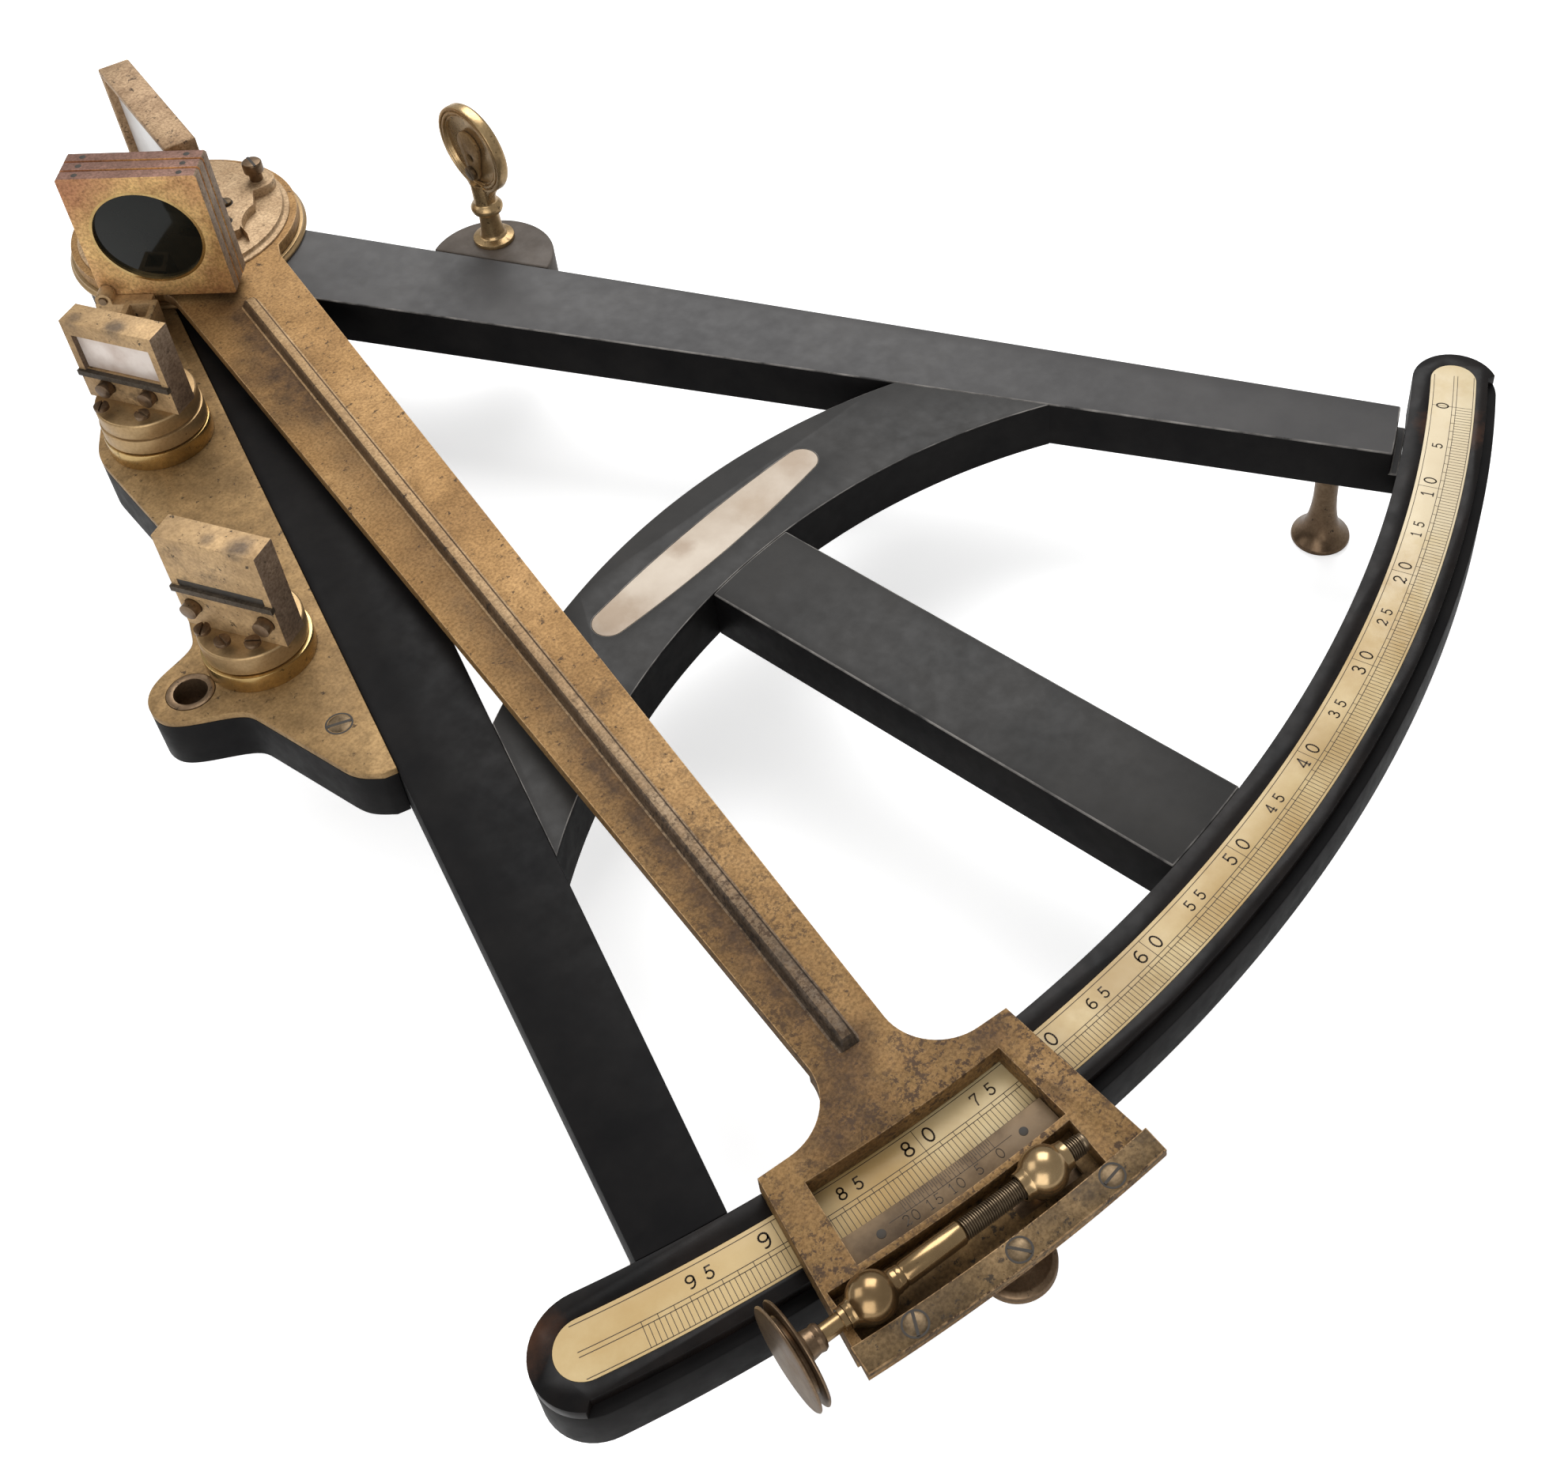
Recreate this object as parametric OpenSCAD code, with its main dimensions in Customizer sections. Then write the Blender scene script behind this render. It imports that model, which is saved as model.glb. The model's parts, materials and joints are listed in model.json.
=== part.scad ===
// Ebony and brass octant, a reflecting quadrant with a fore and a back horizon glass.
// The pivot of the index arm is the centre of all the layout; lengths are in millimetres.

/* [Frame] */
// Thickness of the ebony frame
frame_t = 13; // [11:0.5:16]
// Inner radius of the arc limb
arc_in_r = 320; // [300:1:330]
// Outer radius of the arc limb
arc_out_r = 340.5; // [338:0.5:346]
// Angle from the centreline to the rounded tip of the arc limb
arc_tip_a = 28.1; // [27.4:0.1:30]
// Width of the guide rebate along the outer edge of the arc
rebate_w = 2.4; // [1.5:0.1:4]
// Depth of the guide rebate
rebate_d = 2.6; // [1.5:0.1:4]
// Angle between the centreline and each side limb
limb_lean = 23.2; // [22:0.1:24]
// Width of a side limb at the pivot
limb_head_w = 27; // [24:0.5:30]
// Width of a side limb at the arc
limb_arc_w = 17; // [14:0.5:20]
// Sideways offset of each limb's axis at the pivot
limb_shift = 2.6; // [2:0.1:3.2]
// Radius of the round head under the pivot plate
head_r = 28; // [26:0.5:29]
// Distance from the pivot to the top edge of the cross brace
brace_y = 171.5; // [150:0.5:190]
// Width of the cross brace
brace_w = 26.5; // [22:0.5:32]
// Radius of the curved edges of the cross brace
brace_r = 153; // [140:1:180]
// Width of the centre strut
strut_w = 24; // [18:0.5:30]
// Radius of the half-round boss that carries the sight
boss_r = 16; // [14:0.5:20]
// Height of the feet under the frame
foot_h = 27; // [20:0.5:32]
// Radius of the flared end of a foot
foot_r = 7.4; // [6:0.1:10]

/* [Scale] */
// Radius of the inner line of the divided scale
scale_r = 330; // [328:0.5:331]
// Width of the ivory inlay
inlay_w = 11; // [9:0.1:12]
// Distance of the inlay's inner edge inside the scale line
inlay_in = 5.6; // [4.5:0.1:6.5]
// Thickness of the ivory pieces
ivory_t = 1.2; // [0.8:0.1:2]
// Angle from the centreline to the reading of zero
zero_a = 24.7; // [24:0.1:25.5]
// Reading of the index at rest, in degrees of the scale
reading = 80.1; // [70:0.1:85]
// Length of the blank name plate
name_l = 71; // [60:1:80]
// Width of the blank name plate at its middle
name_w = 11; // [8:0.5:14]

/* [Index arm] */
// Radius of the fixed pivot plate
pivot_r = 30; // [29:0.5:31]
// Thickness of the fixed pivot plate
pivot_t = 2; // [1.5:0.1:3]
// Radius of the arm's round head
arm_head_r = 28.6; // [27:0.1:29]
// Thickness of the arm
arm_t = 3; // [2:0.1:4]
// Half width of the arm at the pivot
arm_half_w = 14.85; // [12:0.1:16]
// Loss of half width for each millimetre along the arm
arm_taper = 0.0214; // [0.015:0.001:0.025]
// Width of the stiffening rib
rib_w = 2.8; // [2:0.1:4]
// Height of the stiffening rib
rib_h = 2.8; // [1.5:0.1:4]
// Distance from the pivot to the inner edge of the end plate
end_in = 318.7; // [316:0.1:320]
// Half width of the end plate at its inner edge
end_half_in = 26.6; // [25:0.1:29]
// Half width of the end plate at its outer edge
end_half_out = 31; // [30:0.1:33]
// Outer radius of the end plate and its guide strip
end_out_r = 359.3; // [358:0.1:364]
// Half width of the window over the scale
window_half = 21.5; // [18:0.1:23]
// Gap between the arm's end plate and the scale
arm_gap = 0.5; // [0.3:0.1:0.8]
// Radius of the axle
axle_r = 5; // [4:0.1:6]

/* [Slow motion] */
// Distance from the pivot to the tangent screw
tangent_u = 348; // [347.5:0.1:349]
// Height of the tangent screw above the scale
tangent_z = 6.2; // [6:0.1:7.5]
// Radius of the two balls
ball_r = 4.5; // [3.8:0.1:4.9]
// Place of the fixed ball across the arm
fixed_ball_w = -23.5; // [-24:0.1:-23]
// Place of the moving ball across the arm
moving_ball_w = 12; // [10:0.1:13]
// Radius of the tangent screw's thread
thread_r = 1.9; // [1.5:0.05:2.2]
// Radius of the tangent screw's smooth barrel
barrel_r = 2.15; // [2:0.05:2.5]
// Radius of the tangent screw's shaft
shaft_r = 1.6; // [1.2:0.05:1.8]
// Radius of the tangent screw's knob
knob_r = 9.6; // [8:0.1:10]
// Radius of the clamp screw's head
clamp_knob_r = 7.4; // [6:0.1:8]
// Place of the clamp screw across the arm
clamp_w = 6.5; // [4:0.1:8]

/* [Index mirror] */
// Length of the index mirror's frame
mirror_l = 45; // [38:0.5:47]
// Reach of the index mirror's frame from the pivot towards the arc
mirror_reach = 21; // [18:0.1:22]
// Height of the index mirror's frame
mirror_h = 34; // [28:0.1:38]
// Thickness of the index mirror's frame
mirror_t = 8; // [6:0.1:9]
// Distance of the mirror frame's face in front of the pivot
mirror_front = 2.6; // [2:0.1:3]
// Thickness of the round base under the mirror
mirror_base_t = 2; // [1.5:0.1:3]
// Radius of the round base under the mirror
mirror_base_r = 26.8; // [25:0.1:27.5]

/* [Shades] */
// Width of a shade frame
shade_w = 33.4; // [30:0.1:36]
// Height of a shade frame
shade_h = 35.7; // [30:0.1:38]
// Thickness of a shade frame
shade_t = 3.3; // [2.5:0.05:3.4]
// Gap between shade frames
shade_gap = 0.45; // [0.3:0.05:0.5]
// Radius of the visible shade glass
shade_glass_r = 13; // [10:0.1:13.5]
// Distance from the pivot to the rear shade
shade_near = 22.2; // [21:0.1:23]
// Direction in which the shades face
shade_dir = -140.8; // [-142:0.1:-139]
// Offset of the shades across their facing direction
shade_lat = 5; // [3:0.1:6]
// Radius of the stem of the shade bracket
stem_r = 3.42; // [3:0.01:3.8]
// Radial clearance of the stem in its socket
stem_gap = 0.08; // [0.05:0.01:0.1]

/* [Horizon glasses] */
// Radius of the fore glass's base ring
fore_r = 12; // [11:0.1:12.2]
// Radius of the back glass's base ring
back_r = 11.6; // [10:0.1:11.9]
// Height of a base ring
ring_t = 4.5; // [3.5:0.1:5.5]
// Height of the fore glass's turning base
fore_turn_t = 8.6; // [7:0.1:10]
// Height of the back glass's turning base
back_turn_t = 5.2; // [4:0.1:6.5]
// Width of a horizon glass frame
glass_w = 23.8; // [22:0.1:24.5]
// Height of the fore glass's frame above its base
fore_h = 22.4; // [19:0.1:26]
// Height of the back glass's frame above its base
back_h = 26.2; // [22:0.1:31]
// Depth of a horizon glass frame
glass_d = 6.4; // [6:0.1:7.5]
// Direction in which both horizon glasses face
glass_dir = -160.7; // [-170:0.1:-155]
// Height of the brass plate above the ebony face
plate_up = 0.8; // [0.5:0.1:1.2]
// Thickness of the brass plate
plate_t = 1.8; // [1.4:0.1:2.5]

/* [Sight] */
// Height of the sight's disc above the face
sight_z = 28.6; // [26:0.1:32]
// Radius of the sight's disc
sight_r = 12; // [10:0.1:13]
// Thickness of the sight's disc
sight_t = 3.2; // [2.5:0.1:4]

/* [Fits] */
// Radial clearance of a turning fit
turn_gap = 0.05; // [0.03:0.01:0.1]
// Gap between curved faces that are fixed to each other
joint_gap = 0.1; // [0.05:0.05:0.2]
// Gap between flat faces that move past each other
slide_gap = 0.3; // [0.2:0.05:0.4]

/* [Hidden] */
$fn = 64;
big_fn = 240;
eps = 0.01;

ebony = [0.10, 0.09, 0.09];
brass = [0.66, 0.52, 0.32];
dull_brass = [0.50, 0.40, 0.26];
ivory = [0.90, 0.82, 0.64];
dark_glass = [0.05, 0.06, 0.05];
mirror_glass = [0.75, 0.75, 0.76];

// Arc limb and scale
arc_mid_r = (arc_in_r + arc_out_r) / 2;
arc_cap_r = (arc_out_r - arc_in_r) / 2;
arc_cap_a = arc_tip_a - asin(arc_cap_r / arc_mid_r);
rebate_a = arc_cap_a + 0.6;
inlay_in_r = scale_r - inlay_in;
inlay_out_r = inlay_in_r + inlay_w;
inlay_mid_r = inlay_in_r + inlay_w / 2;
inlay_a = arc_tip_a - 0.72 - asin(inlay_w / 2 / inlay_mid_r);
brace_in_y = brace_y + brace_w;
name_c = [0, -brace_y - brace_w / 2 - 1.4];
name_end_r = name_w / 2 - 1.5;
name_end_x = name_l / 2 - name_end_r;

// Index arm; on_arm() puts x along the arm and y across it
arm_a = -90 + zero_a - reading / 2;
arm_z = pivot_t + slide_gap;
arm_top = arm_z + arm_t;
end_t = arm_top - arm_gap;
window_in = inlay_in_r + 0.6;
vernier_in = inlay_out_r + 0.3;
vernier_out = vernier_in + 6.6;
slot_in = tangent_u - ball_r + 0.2;
slot_out = tangent_u + ball_r + 1.2;
strip_w = end_out_r - slot_out;
edge_t = 1;
edge_reach = 4.2;
slot_left = fixed_ball_w + ball_r + 0.6;
slot_right = end_half_in + 0.8;
strip_t = 1.2;
slow_travel = 4;
arm_neck = end_in - 14;
neck_r = 12;
strip_screw_r = 2.1;
strip_screw_w = [-20.4, 0.3, 20.6];
vernier_pin_a = 2.55;
mirror_z = arm_top + mirror_base_t;
mirror_top = mirror_z + mirror_h;
tail_w = 21.2;
tail_r = 4.4;
foot_plate_t = 2.6;

// Slow motion
post_r = 2.4;
block_in = slot_in + slide_gap;
block_out = tangent_u + post_r + 0.6;
block_left = slot_left + slow_travel + slide_gap;
block_right = slot_right - slow_travel - slide_gap;
recess_z = tangent_z - ball_r - 0.2;
tail_to = moving_ball_w + ball_r + 4.6;
recess_right = tail_to + 0.6;
clamp_top = arm_gap - slide_gap;
post_reach = slow_travel + post_r + slide_gap;
jaw_z = -frame_t - slide_gap;
jaw_t = 2.4;
jaw_in = arc_in_r + 9;
block_bottom = jaw_z - jaw_t;
clamp_u = (block_in + block_out) / 2;
knob_w = -40;
knob_t = 3;

// Shades; on_shade() puts x outward from the pivot and y across the frames
shade_z = mirror_z + 0.4;
shade_pitch = shade_t + shade_gap;
shade_far = shade_near + 3 * shade_pitch - shade_gap;
shade_mid_z = shade_z + shade_h / 2;
corner_r = 2;
pin_y = shade_lat - shade_w / 2 + corner_r;
pin_z = shade_z + corner_r;
pin_r = 1;
bracket_d0 = shade_far + slide_gap;
bracket_t = 4;
post_w = 8;
socket_d = pivot_r + 10.5;
socket_lat = -0.6;
bush_r = 5;
socket_r = stem_r + stem_gap;
front_socket = [socket_d * cos(shade_dir) - socket_lat * sin(shade_dir),
    socket_d * sin(shade_dir) + socket_lat * cos(shade_dir)];

// Horizon plate and its platform
fore_c = [-52.5, -58.8];
plate_mid_c = [-61, -94];
back_c = [-82, -132.7];
back_socket = [-98.2, -129.6];
tail_c = [-83.8, -171.8];
plate_screw_c = [-85.3, -161.6];
ring_z = plate_up;
turn_z = ring_z + ring_t + slide_gap;
fore_z = turn_z + fore_turn_t;
back_z = turn_z + back_turn_t;
turn_axle_r = 3;
lever_t = 2.4;
lever_z = -frame_t - slide_gap - lever_t;
fore_front = 4;
back_front = 4.3;

// Sight
boss_c = [42, -70];
sight_c = [47.9, -64.7];
sight_dir = 175;
sight_hole_r = 0.8;
shutter_r = 5.2;

// Placing: the feet stand at height zero and the origin is the middle of the outline
end_corner_a = asin(end_half_out / end_out_r);
far_y = end_out_r * sin(arm_a + end_corner_a);
y_shift = -(far_y + pivot_r) / 2;
z_shift = frame_t + foot_h;
foot_centres = [[117.9, -279.5], [-117.9, -279.5], [-24, -62]];

module place() translate([0, y_shift, z_shift]) children();
module on_arm() rotate([0, 0, arm_a]) children();
module on_shade() rotate([0, 0, shade_dir]) children();
module slab(z0, t) translate([0, 0, z0]) linear_extrude(height = t) children();

// A ring between two angles, drawn flat
module ring_part(r1, r2, a1, a2) {
    far = r2 * 1.2;
    am = (a1 + a2) / 2;
    intersection() {
        difference() {
            circle(r = r2, $fn = big_fn);
            circle(r = r1, $fn = big_fn);
        }
        polygon([[0, 0], far * [cos(a1), sin(a1)], far * 1.1 * [cos(am), sin(am)], far * [cos(a2), sin(a2)]]);
    }
}

// A ring part with round ends, drawn flat and centred on the centreline
module round_arc(r1, r2, a) {
    rm = (r1 + r2) / 2;
    ring_part(r1, r2, -90 - a, -90 + a);
    for (s = [-1, 1])
        rotate([0, 0, -90 + s * a])
            translate([rm, 0])
                circle(r = (r2 - r1) / 2 - 0.02);
}

// The band between the outer tangents of two circles, drawn flat a hair inside them
module belt(c1, r1, c2, r2) {
    hair = 0.03;
    d = c2 - c1;
    len = norm(d);
    base = atan2(d[1], d[0]);
    lean = acos((r1 - r2) / len);
    u1 = [cos(base + lean), sin(base + lean)];
    u2 = [cos(base - lean), sin(base - lean)];
    polygon([c1 + (r1 - hair) * u2, c2 + (r2 - hair) * u2, c2 + (r2 - hair) * u1, c1 + (r1 - hair) * u1]);
}

module capsule(c1, r1, c2, r2) {
    translate(c1)
        circle(r = r1);
    translate(c2)
        circle(r = r2);
    belt(c1, r1, c2, r2);
}

// The hollow filler between two circles on the left of the line from c1 to c2, drawn flat
module filler(c1, r1, c2, r2, rf) {
    d = c2 - c1;
    len = norm(d);
    base = atan2(d[1], d[0]);
    s1 = r1 + rf;
    s2 = r2 + rf;
    turn = acos((s1 * s1 + len * len - s2 * s2) / (2 * s1 * len));
    fc = c1 + s1 * [cos(base + turn), sin(base + turn)];
    difference() {
        polygon([c1, c2, fc]);
        translate(fc)
            circle(r = rf + 0.03);
    }
}

// A countersunk or cheese screw: head with a slot and a shank below it
module slotted_screw(head_r, head_t, shank_r, shank_l, turn = 0) {
    difference() {
        union() {
            cylinder(r = head_r, h = head_t);
            translate([0, 0, -shank_l])
                cylinder(r = shank_r, h = shank_l + eps);
        }
        rotate([0, 0, turn])
            translate([-head_r - 1, -head_r * 0.12, head_t * 0.5])
                cube([2 * head_r + 2, head_r * 0.24, head_t]);
    }
}

// Outline of one side limb, from the pivot to past the arc; side is 1 right and -1 left
module limb_shape(side) {
    long = arc_out_r;
    w_end = limb_head_w + (limb_arc_w - limb_head_w) * long / arc_in_r;
    translate([-side * limb_shift, 0])
        rotate([0, 0, side * limb_lean])
            polygon([[-limb_head_w / 2, 0], [limb_head_w / 2, 0], [w_end / 2, -long], [-w_end / 2, -long]]);
}

module arc_limb() {
    color(ebony)
        place()
            difference() {
                slab(-frame_t, frame_t)
                    round_arc(arc_in_r, arc_out_r, arc_cap_a);
                slab(-rebate_d, rebate_d + 1)
                    ring_part(arc_out_r - rebate_w, arc_out_r + 2, -90 - rebate_a, -90 + rebate_a);
                slab(-ivory_t, ivory_t + 1)
                    round_arc(inlay_in_r, inlay_out_r, inlay_a);
            }
}

module right_limb() {
    tenon_gap = 2;
    color(ebony)
        place()
            difference() {
                union() {
                    slab(-frame_t, frame_t)
                        union() {
                            circle(r = head_r);
                            intersection() {
                                limb_shape(1);
                                circle(r = arc_in_r - tenon_gap, $fn = big_fn);
                            }
                        }
                    slab(-frame_t, frame_t / 2)
                        intersection() {
                            limb_shape(1);
                            circle(r = arc_in_r - joint_gap, $fn = big_fn);
                        }
                }
                translate([0, 0, -frame_t - 1])
                    cylinder(r = bush_out_r + joint_gap / 2, h = frame_t + 2);
            }
}

module left_limb() {
    color(ebony)
        place()
            slab(-frame_t, frame_t)
                difference() {
                    intersection() {
                        limb_shape(-1);
                        circle(r = arc_in_r - joint_gap, $fn = big_fn);
                    }
                    limb_shape(1);
                    circle(r = head_r + joint_gap);
                }
}

module brace_hollow(gap) translate([0, -brace_in_y - brace_r - 1])
    circle(r = brace_r + 1 - gap, $fn = big_fn);

module cross_brace() {
    reach = brace_in_y + 40;
    spread = reach * tan(limb_lean);
    color(ebony)
        place()
            difference() {
                slab(-frame_t, frame_t)
                    difference() {
                        intersection() {
                            translate([0, -brace_y - brace_r])
                                circle(r = brace_r, $fn = big_fn);
                            polygon([[0, 0], [spread, -reach], [-spread, -reach]]);
                        }
                        brace_hollow(0);
                        limb_shape(1);
                        limb_shape(-1);
                    }
                slab(-ivory_t, ivory_t + 1)
                    name_shape();
            }
}

module centre_strut() {
    color(ebony)
        place()
            slab(-frame_t, frame_t)
                intersection() {
                    translate([-strut_w / 2, -arc_out_r])
                        square([strut_w, arc_out_r - brace_y]);
                    circle(r = arc_in_r - joint_gap, $fn = big_fn);
                    brace_hollow(joint_gap);
                }
}

module sight_boss() {
    color(ebony)
        place()
            difference() {
                slab(-frame_t, frame_t)
                    difference() {
                        translate(boss_c)
                            circle(r = boss_r);
                        limb_shape(1);
                    }
                translate([sight_c[0], sight_c[1], -8])
                    cylinder(r = 2 + turn_gap, h = 10);
            }
}

// Outline of the horizon plate and platform, left of the left limb
module plate_shape(head_gap_r) {
    difference() {
        union() {
            capsule(front_socket, bush_r + 4, fore_c, fore_r + 2.6);
            belt(fore_c, fore_r + 2.6, plate_mid_c, 12.5);
            capsule(plate_mid_c, 12.5, back_c, back_r + 1.6);
            belt(back_c, back_r + 1.6, back_socket, bush_r + 3.8);
            translate(back_socket)
                circle(r = bush_r + 3.8);
            belt(back_c, back_r + 1.5, tail_c, 8.6);
            translate(tail_c)
                circle(r = 8.6);
            polygon([front_socket, fore_c, plate_mid_c, back_c, tail_c, tail_c + [6, -8.6], [0, 0]]);
            filler(tail_c, 8.6, back_socket, bush_r + 3.8, 22);
        }
        limb_shape(-1);
        limb_shape(1);
        translate([limb_shift, 0])
            rotate([0, 0, -limb_lean])
                translate([-limb_arc_w / 3, -arc_in_r])
                    square([arc_in_r, arc_in_r]);
        circle(r = head_gap_r);
    }
}

module socket_holes(z0, h) {
    for (c = [front_socket, back_socket])
        translate([c[0], c[1], z0])
            cylinder(r = bush_r + joint_gap / 2, h = h);
    for (c = [fore_c, back_c])
        translate([c[0], c[1], z0])
            cylinder(r = turn_axle_r + turn_gap, h = h);
    translate([plate_screw_c[0], plate_screw_c[1], z0])
        cylinder(r = 1.3, h = h);
}

module horizon_platform() {
    color(ebony)
        place()
            difference() {
                slab(-frame_t, frame_t + plate_up - plate_t)
                    plate_shape(head_r + joint_gap);
                socket_holes(-frame_t - 1, frame_t + 3);
            }
}

module horizon_plate() {
    color(brass)
        place()
            difference() {
                slab(plate_up - plate_t, plate_t)
                    plate_shape(pivot_r + joint_gap);
                socket_holes(-frame_t - 1, frame_t + 3);
                translate([plate_screw_c[0], plate_screw_c[1], plate_up - 0.9])
                    cylinder(r = 2.65, h = 2);
            }
}

module plate_screws() {
    color(dull_brass)
        place()
            translate([plate_screw_c[0], plate_screw_c[1], plate_up - 0.9])
                slotted_screw(2.6, 1, 1.25, 9, -30);
}

module scale_plate() {
    color(ivory)
        place()
            slab(-ivory_t, ivory_t)
                round_arc(inlay_in_r + joint_gap / 2, inlay_out_r - joint_gap / 2, inlay_a);
}

// Outline of the blank name plate: two long arcs with a round end each side
module name_shape(gap = 0) {
    rise = name_w / 2 - name_end_r;
    bow = (name_end_x * name_end_x + rise * rise) / (2 * rise);
    translate(name_c) {
        intersection() {
            translate([0, name_w / 2 - gap - bow])
                circle(r = bow, $fn = big_fn);
            translate([0, bow + gap - name_w / 2])
                circle(r = bow, $fn = big_fn);
            square([2 * name_end_x, name_w], center = true);
        }
        for (s = [-1, 1])
            translate([s * name_end_x, 0])
                circle(r = name_end_r - gap);
    }
}

module name_plate() {
    color(ivory)
        place()
            slab(-ivory_t, ivory_t)
                name_shape(joint_gap / 2);
}

bush_out_r = axle_r + 3;

module pivot_plate() {
    color(brass)
        place()
            difference() {
                cylinder(r = pivot_r, h = pivot_t);
                translate([0, 0, -1])
                    cylinder(r = axle_r + slide_gap, h = pivot_t + 2);
            }
}

module centre_bush() {
    color(dull_brass)
        place()
            difference() {
                translate([0, 0, -frame_t])
                    cylinder(r = bush_out_r, h = frame_t);
                translate([0, 0, -frame_t - 1])
                    cylinder(r = axle_r + turn_gap, h = frame_t + 2);
            }
}

// A trumpet foot: flange, slender stem and flared end, with its flat end at height zero
module foot() {
    neck_r = foot_r * 0.42;
    flange_r = foot_r * 0.72;
    rotate_extrude()
        difference() {
            polygon([[0, 0], [foot_r, 0], [foot_r, 1.6], [neck_r + 1.4, foot_h * 0.32],
                [neck_r, foot_h * 0.6], [neck_r, foot_h - 3.4], [flange_r, foot_h - 2.4],
                [flange_r, foot_h], [0, foot_h]]);
            translate([foot_r + 1.6, foot_h * 0.3])
                circle(r = foot_h * 0.2);
        }
}

module feet() {
    color(dull_brass)
        translate([0, y_shift, 0])
            for (c = foot_centres)
                translate([c[0], c[1], 0])
                    foot();
}

module socket_bush(c) {
    top = plate_up;
    difference() {
        translate([c[0], c[1], -frame_t])
            cylinder(r = bush_r, h = frame_t + top);
        translate([c[0], c[1], -frame_t - 1])
            cylinder(r = socket_r, h = frame_t + top + 2);
    }
}

module front_shade_socket() {
    color(brass)
        place()
            socket_bush(front_socket);
}

module back_shade_socket() {
    color(brass)
        place()
            socket_bush(back_socket);
}

module base_ring(c, r) {
    translate([c[0], c[1], ring_z])
        difference() {
            cylinder(r = r, h = ring_t);
            translate([0, 0, -1])
                cylinder(r = turn_axle_r + turn_gap, h = ring_t + 2);
        }
}

module fore_base_ring() {
    color(brass)
        place()
            base_ring(fore_c, fore_r);
}

module back_base_ring() {
    color(brass)
        place()
            base_ring(back_c, back_r);
}

// Side frame of the sight: x points at the fore horizon glass
module on_sight() translate([sight_c[0], sight_c[1], 0])
    rotate([0, 0, sight_dir])
        children();

module sight_post() {
    collar_z = 10.6;
    color(brass)
        place()
            on_sight()
                difference() {
                    union() {
                        rotate_extrude()
                            polygon([[0, -7.5], [2, -7.5], [2, 0], [5.3, 0], [5.3, 1.3], [3.05, 1.9], [2.8, 3.4],
                                [2.5, collar_z - 1.6], [4.1, collar_z - 1], [4.1, collar_z + 1],
                                [2.9, collar_z + 1.6], [2.9, sight_z - sight_r + 2], [0, sight_z - sight_r + 2]]);
                        translate([-sight_t / 2, 0, sight_z])
                            rotate([0, 90, 0])
                                cylinder(r = sight_r, h = sight_t);
                    }
                    translate([sight_t / 2 - 1, 0, sight_z])
                        rotate([0, 90, 0])
                            cylinder(r = sight_r - 2.2, h = 2);
                    for (dz = [-2.4, 4.4])
                        translate([-sight_t, 0, sight_z + dz])
                            rotate([0, 90, 0])
                                cylinder(r = sight_hole_r, h = 2 * sight_t);
                    translate([-sight_t, 0, sight_z - sight_r + 5.4])
                        rotate([0, 90, 0])
                            cylinder(r = 0.9 + turn_gap, h = 2 * sight_t);
                }
}

module sight_shutter() {
    front = sight_t / 2 - 1 + 0.15;
    color(dull_brass)
        place()
            on_sight()
                difference() {
                    translate([front, 0, sight_z + 1])
                        rotate([0, 90, 0])
                            linear_extrude(height = 0.8)
                                capsule([0, 0], shutter_r - 1, [sight_r - 5.4 + 1, 0], 2.3);
                    translate([front - 1, 0, sight_z - sight_r + 5.4])
                        rotate([0, 90, 0])
                            cylinder(r = 1.2 + turn_gap, h = 4);
                    translate([front - 1, 0, sight_z - 2.4])
                        rotate([0, 90, 0])
                            cylinder(r = sight_hole_r + 0.4, h = 4);
                }
}

module shutter_screw() {
    front = sight_t / 2 - 1;
    color(dull_brass)
        place()
            on_sight()
                translate([front, 0, sight_z - sight_r + 5.4])
                    rotate([0, 90, 0]) {
                        translate([0, 0, -sight_t + 1.2])
                            cylinder(r = 0.9, h = sight_t - 1.2 + eps);
                        cylinder(r = 1.2, h = 1.3);
                        translate([0, 0, 1.3 - eps])
                            slotted_screw(1.9, 0.9, 0.8, 0.2, 35);
                    }
}

// Outline of the arm's end plate with its hollow shoulders
module end_plate_shape() {
    shoulder_u = end_in - neck_r;
    neck_w = arm_half_w - arm_taper * shoulder_u;
    intersection() {
        circle(r = end_out_r, $fn = big_fn);
        polygon([[end_in, -end_half_in], [end_out_r, -end_half_out], [end_out_r + 2, 0], [end_out_r, end_half_out],
            [end_in, end_half_in]]);
    }
    difference() {
        translate([shoulder_u, -neck_w - neck_r])
            square([neck_r + eps, 2 * (neck_w + neck_r)]);
        for (s = [-1, 1])
            translate([shoulder_u, s * (neck_w + neck_r)])
                circle(r = neck_r);
    }
}

module window_shape() {
    intersection() {
        difference() {
            circle(r = vernier_out, $fn = big_fn);
            circle(r = window_in, $fn = big_fn);
        }
        polygon([[0, 0], [window_in, -window_half + 1], [vernier_out + 2, -window_half - 0.6],
            [vernier_out + 2, window_half + 0.6], [window_in, window_half - 1]]);
    }
}

module slot_shape(r1, r2, w1, w2) {
    intersection() {
        difference() {
            circle(r = r2, $fn = big_fn);
            circle(r = r1, $fn = big_fn);
        }
        translate([r1 - 8, w1])
            square([r2 - r1 + 16, w2 - w1]);
    }
}

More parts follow.
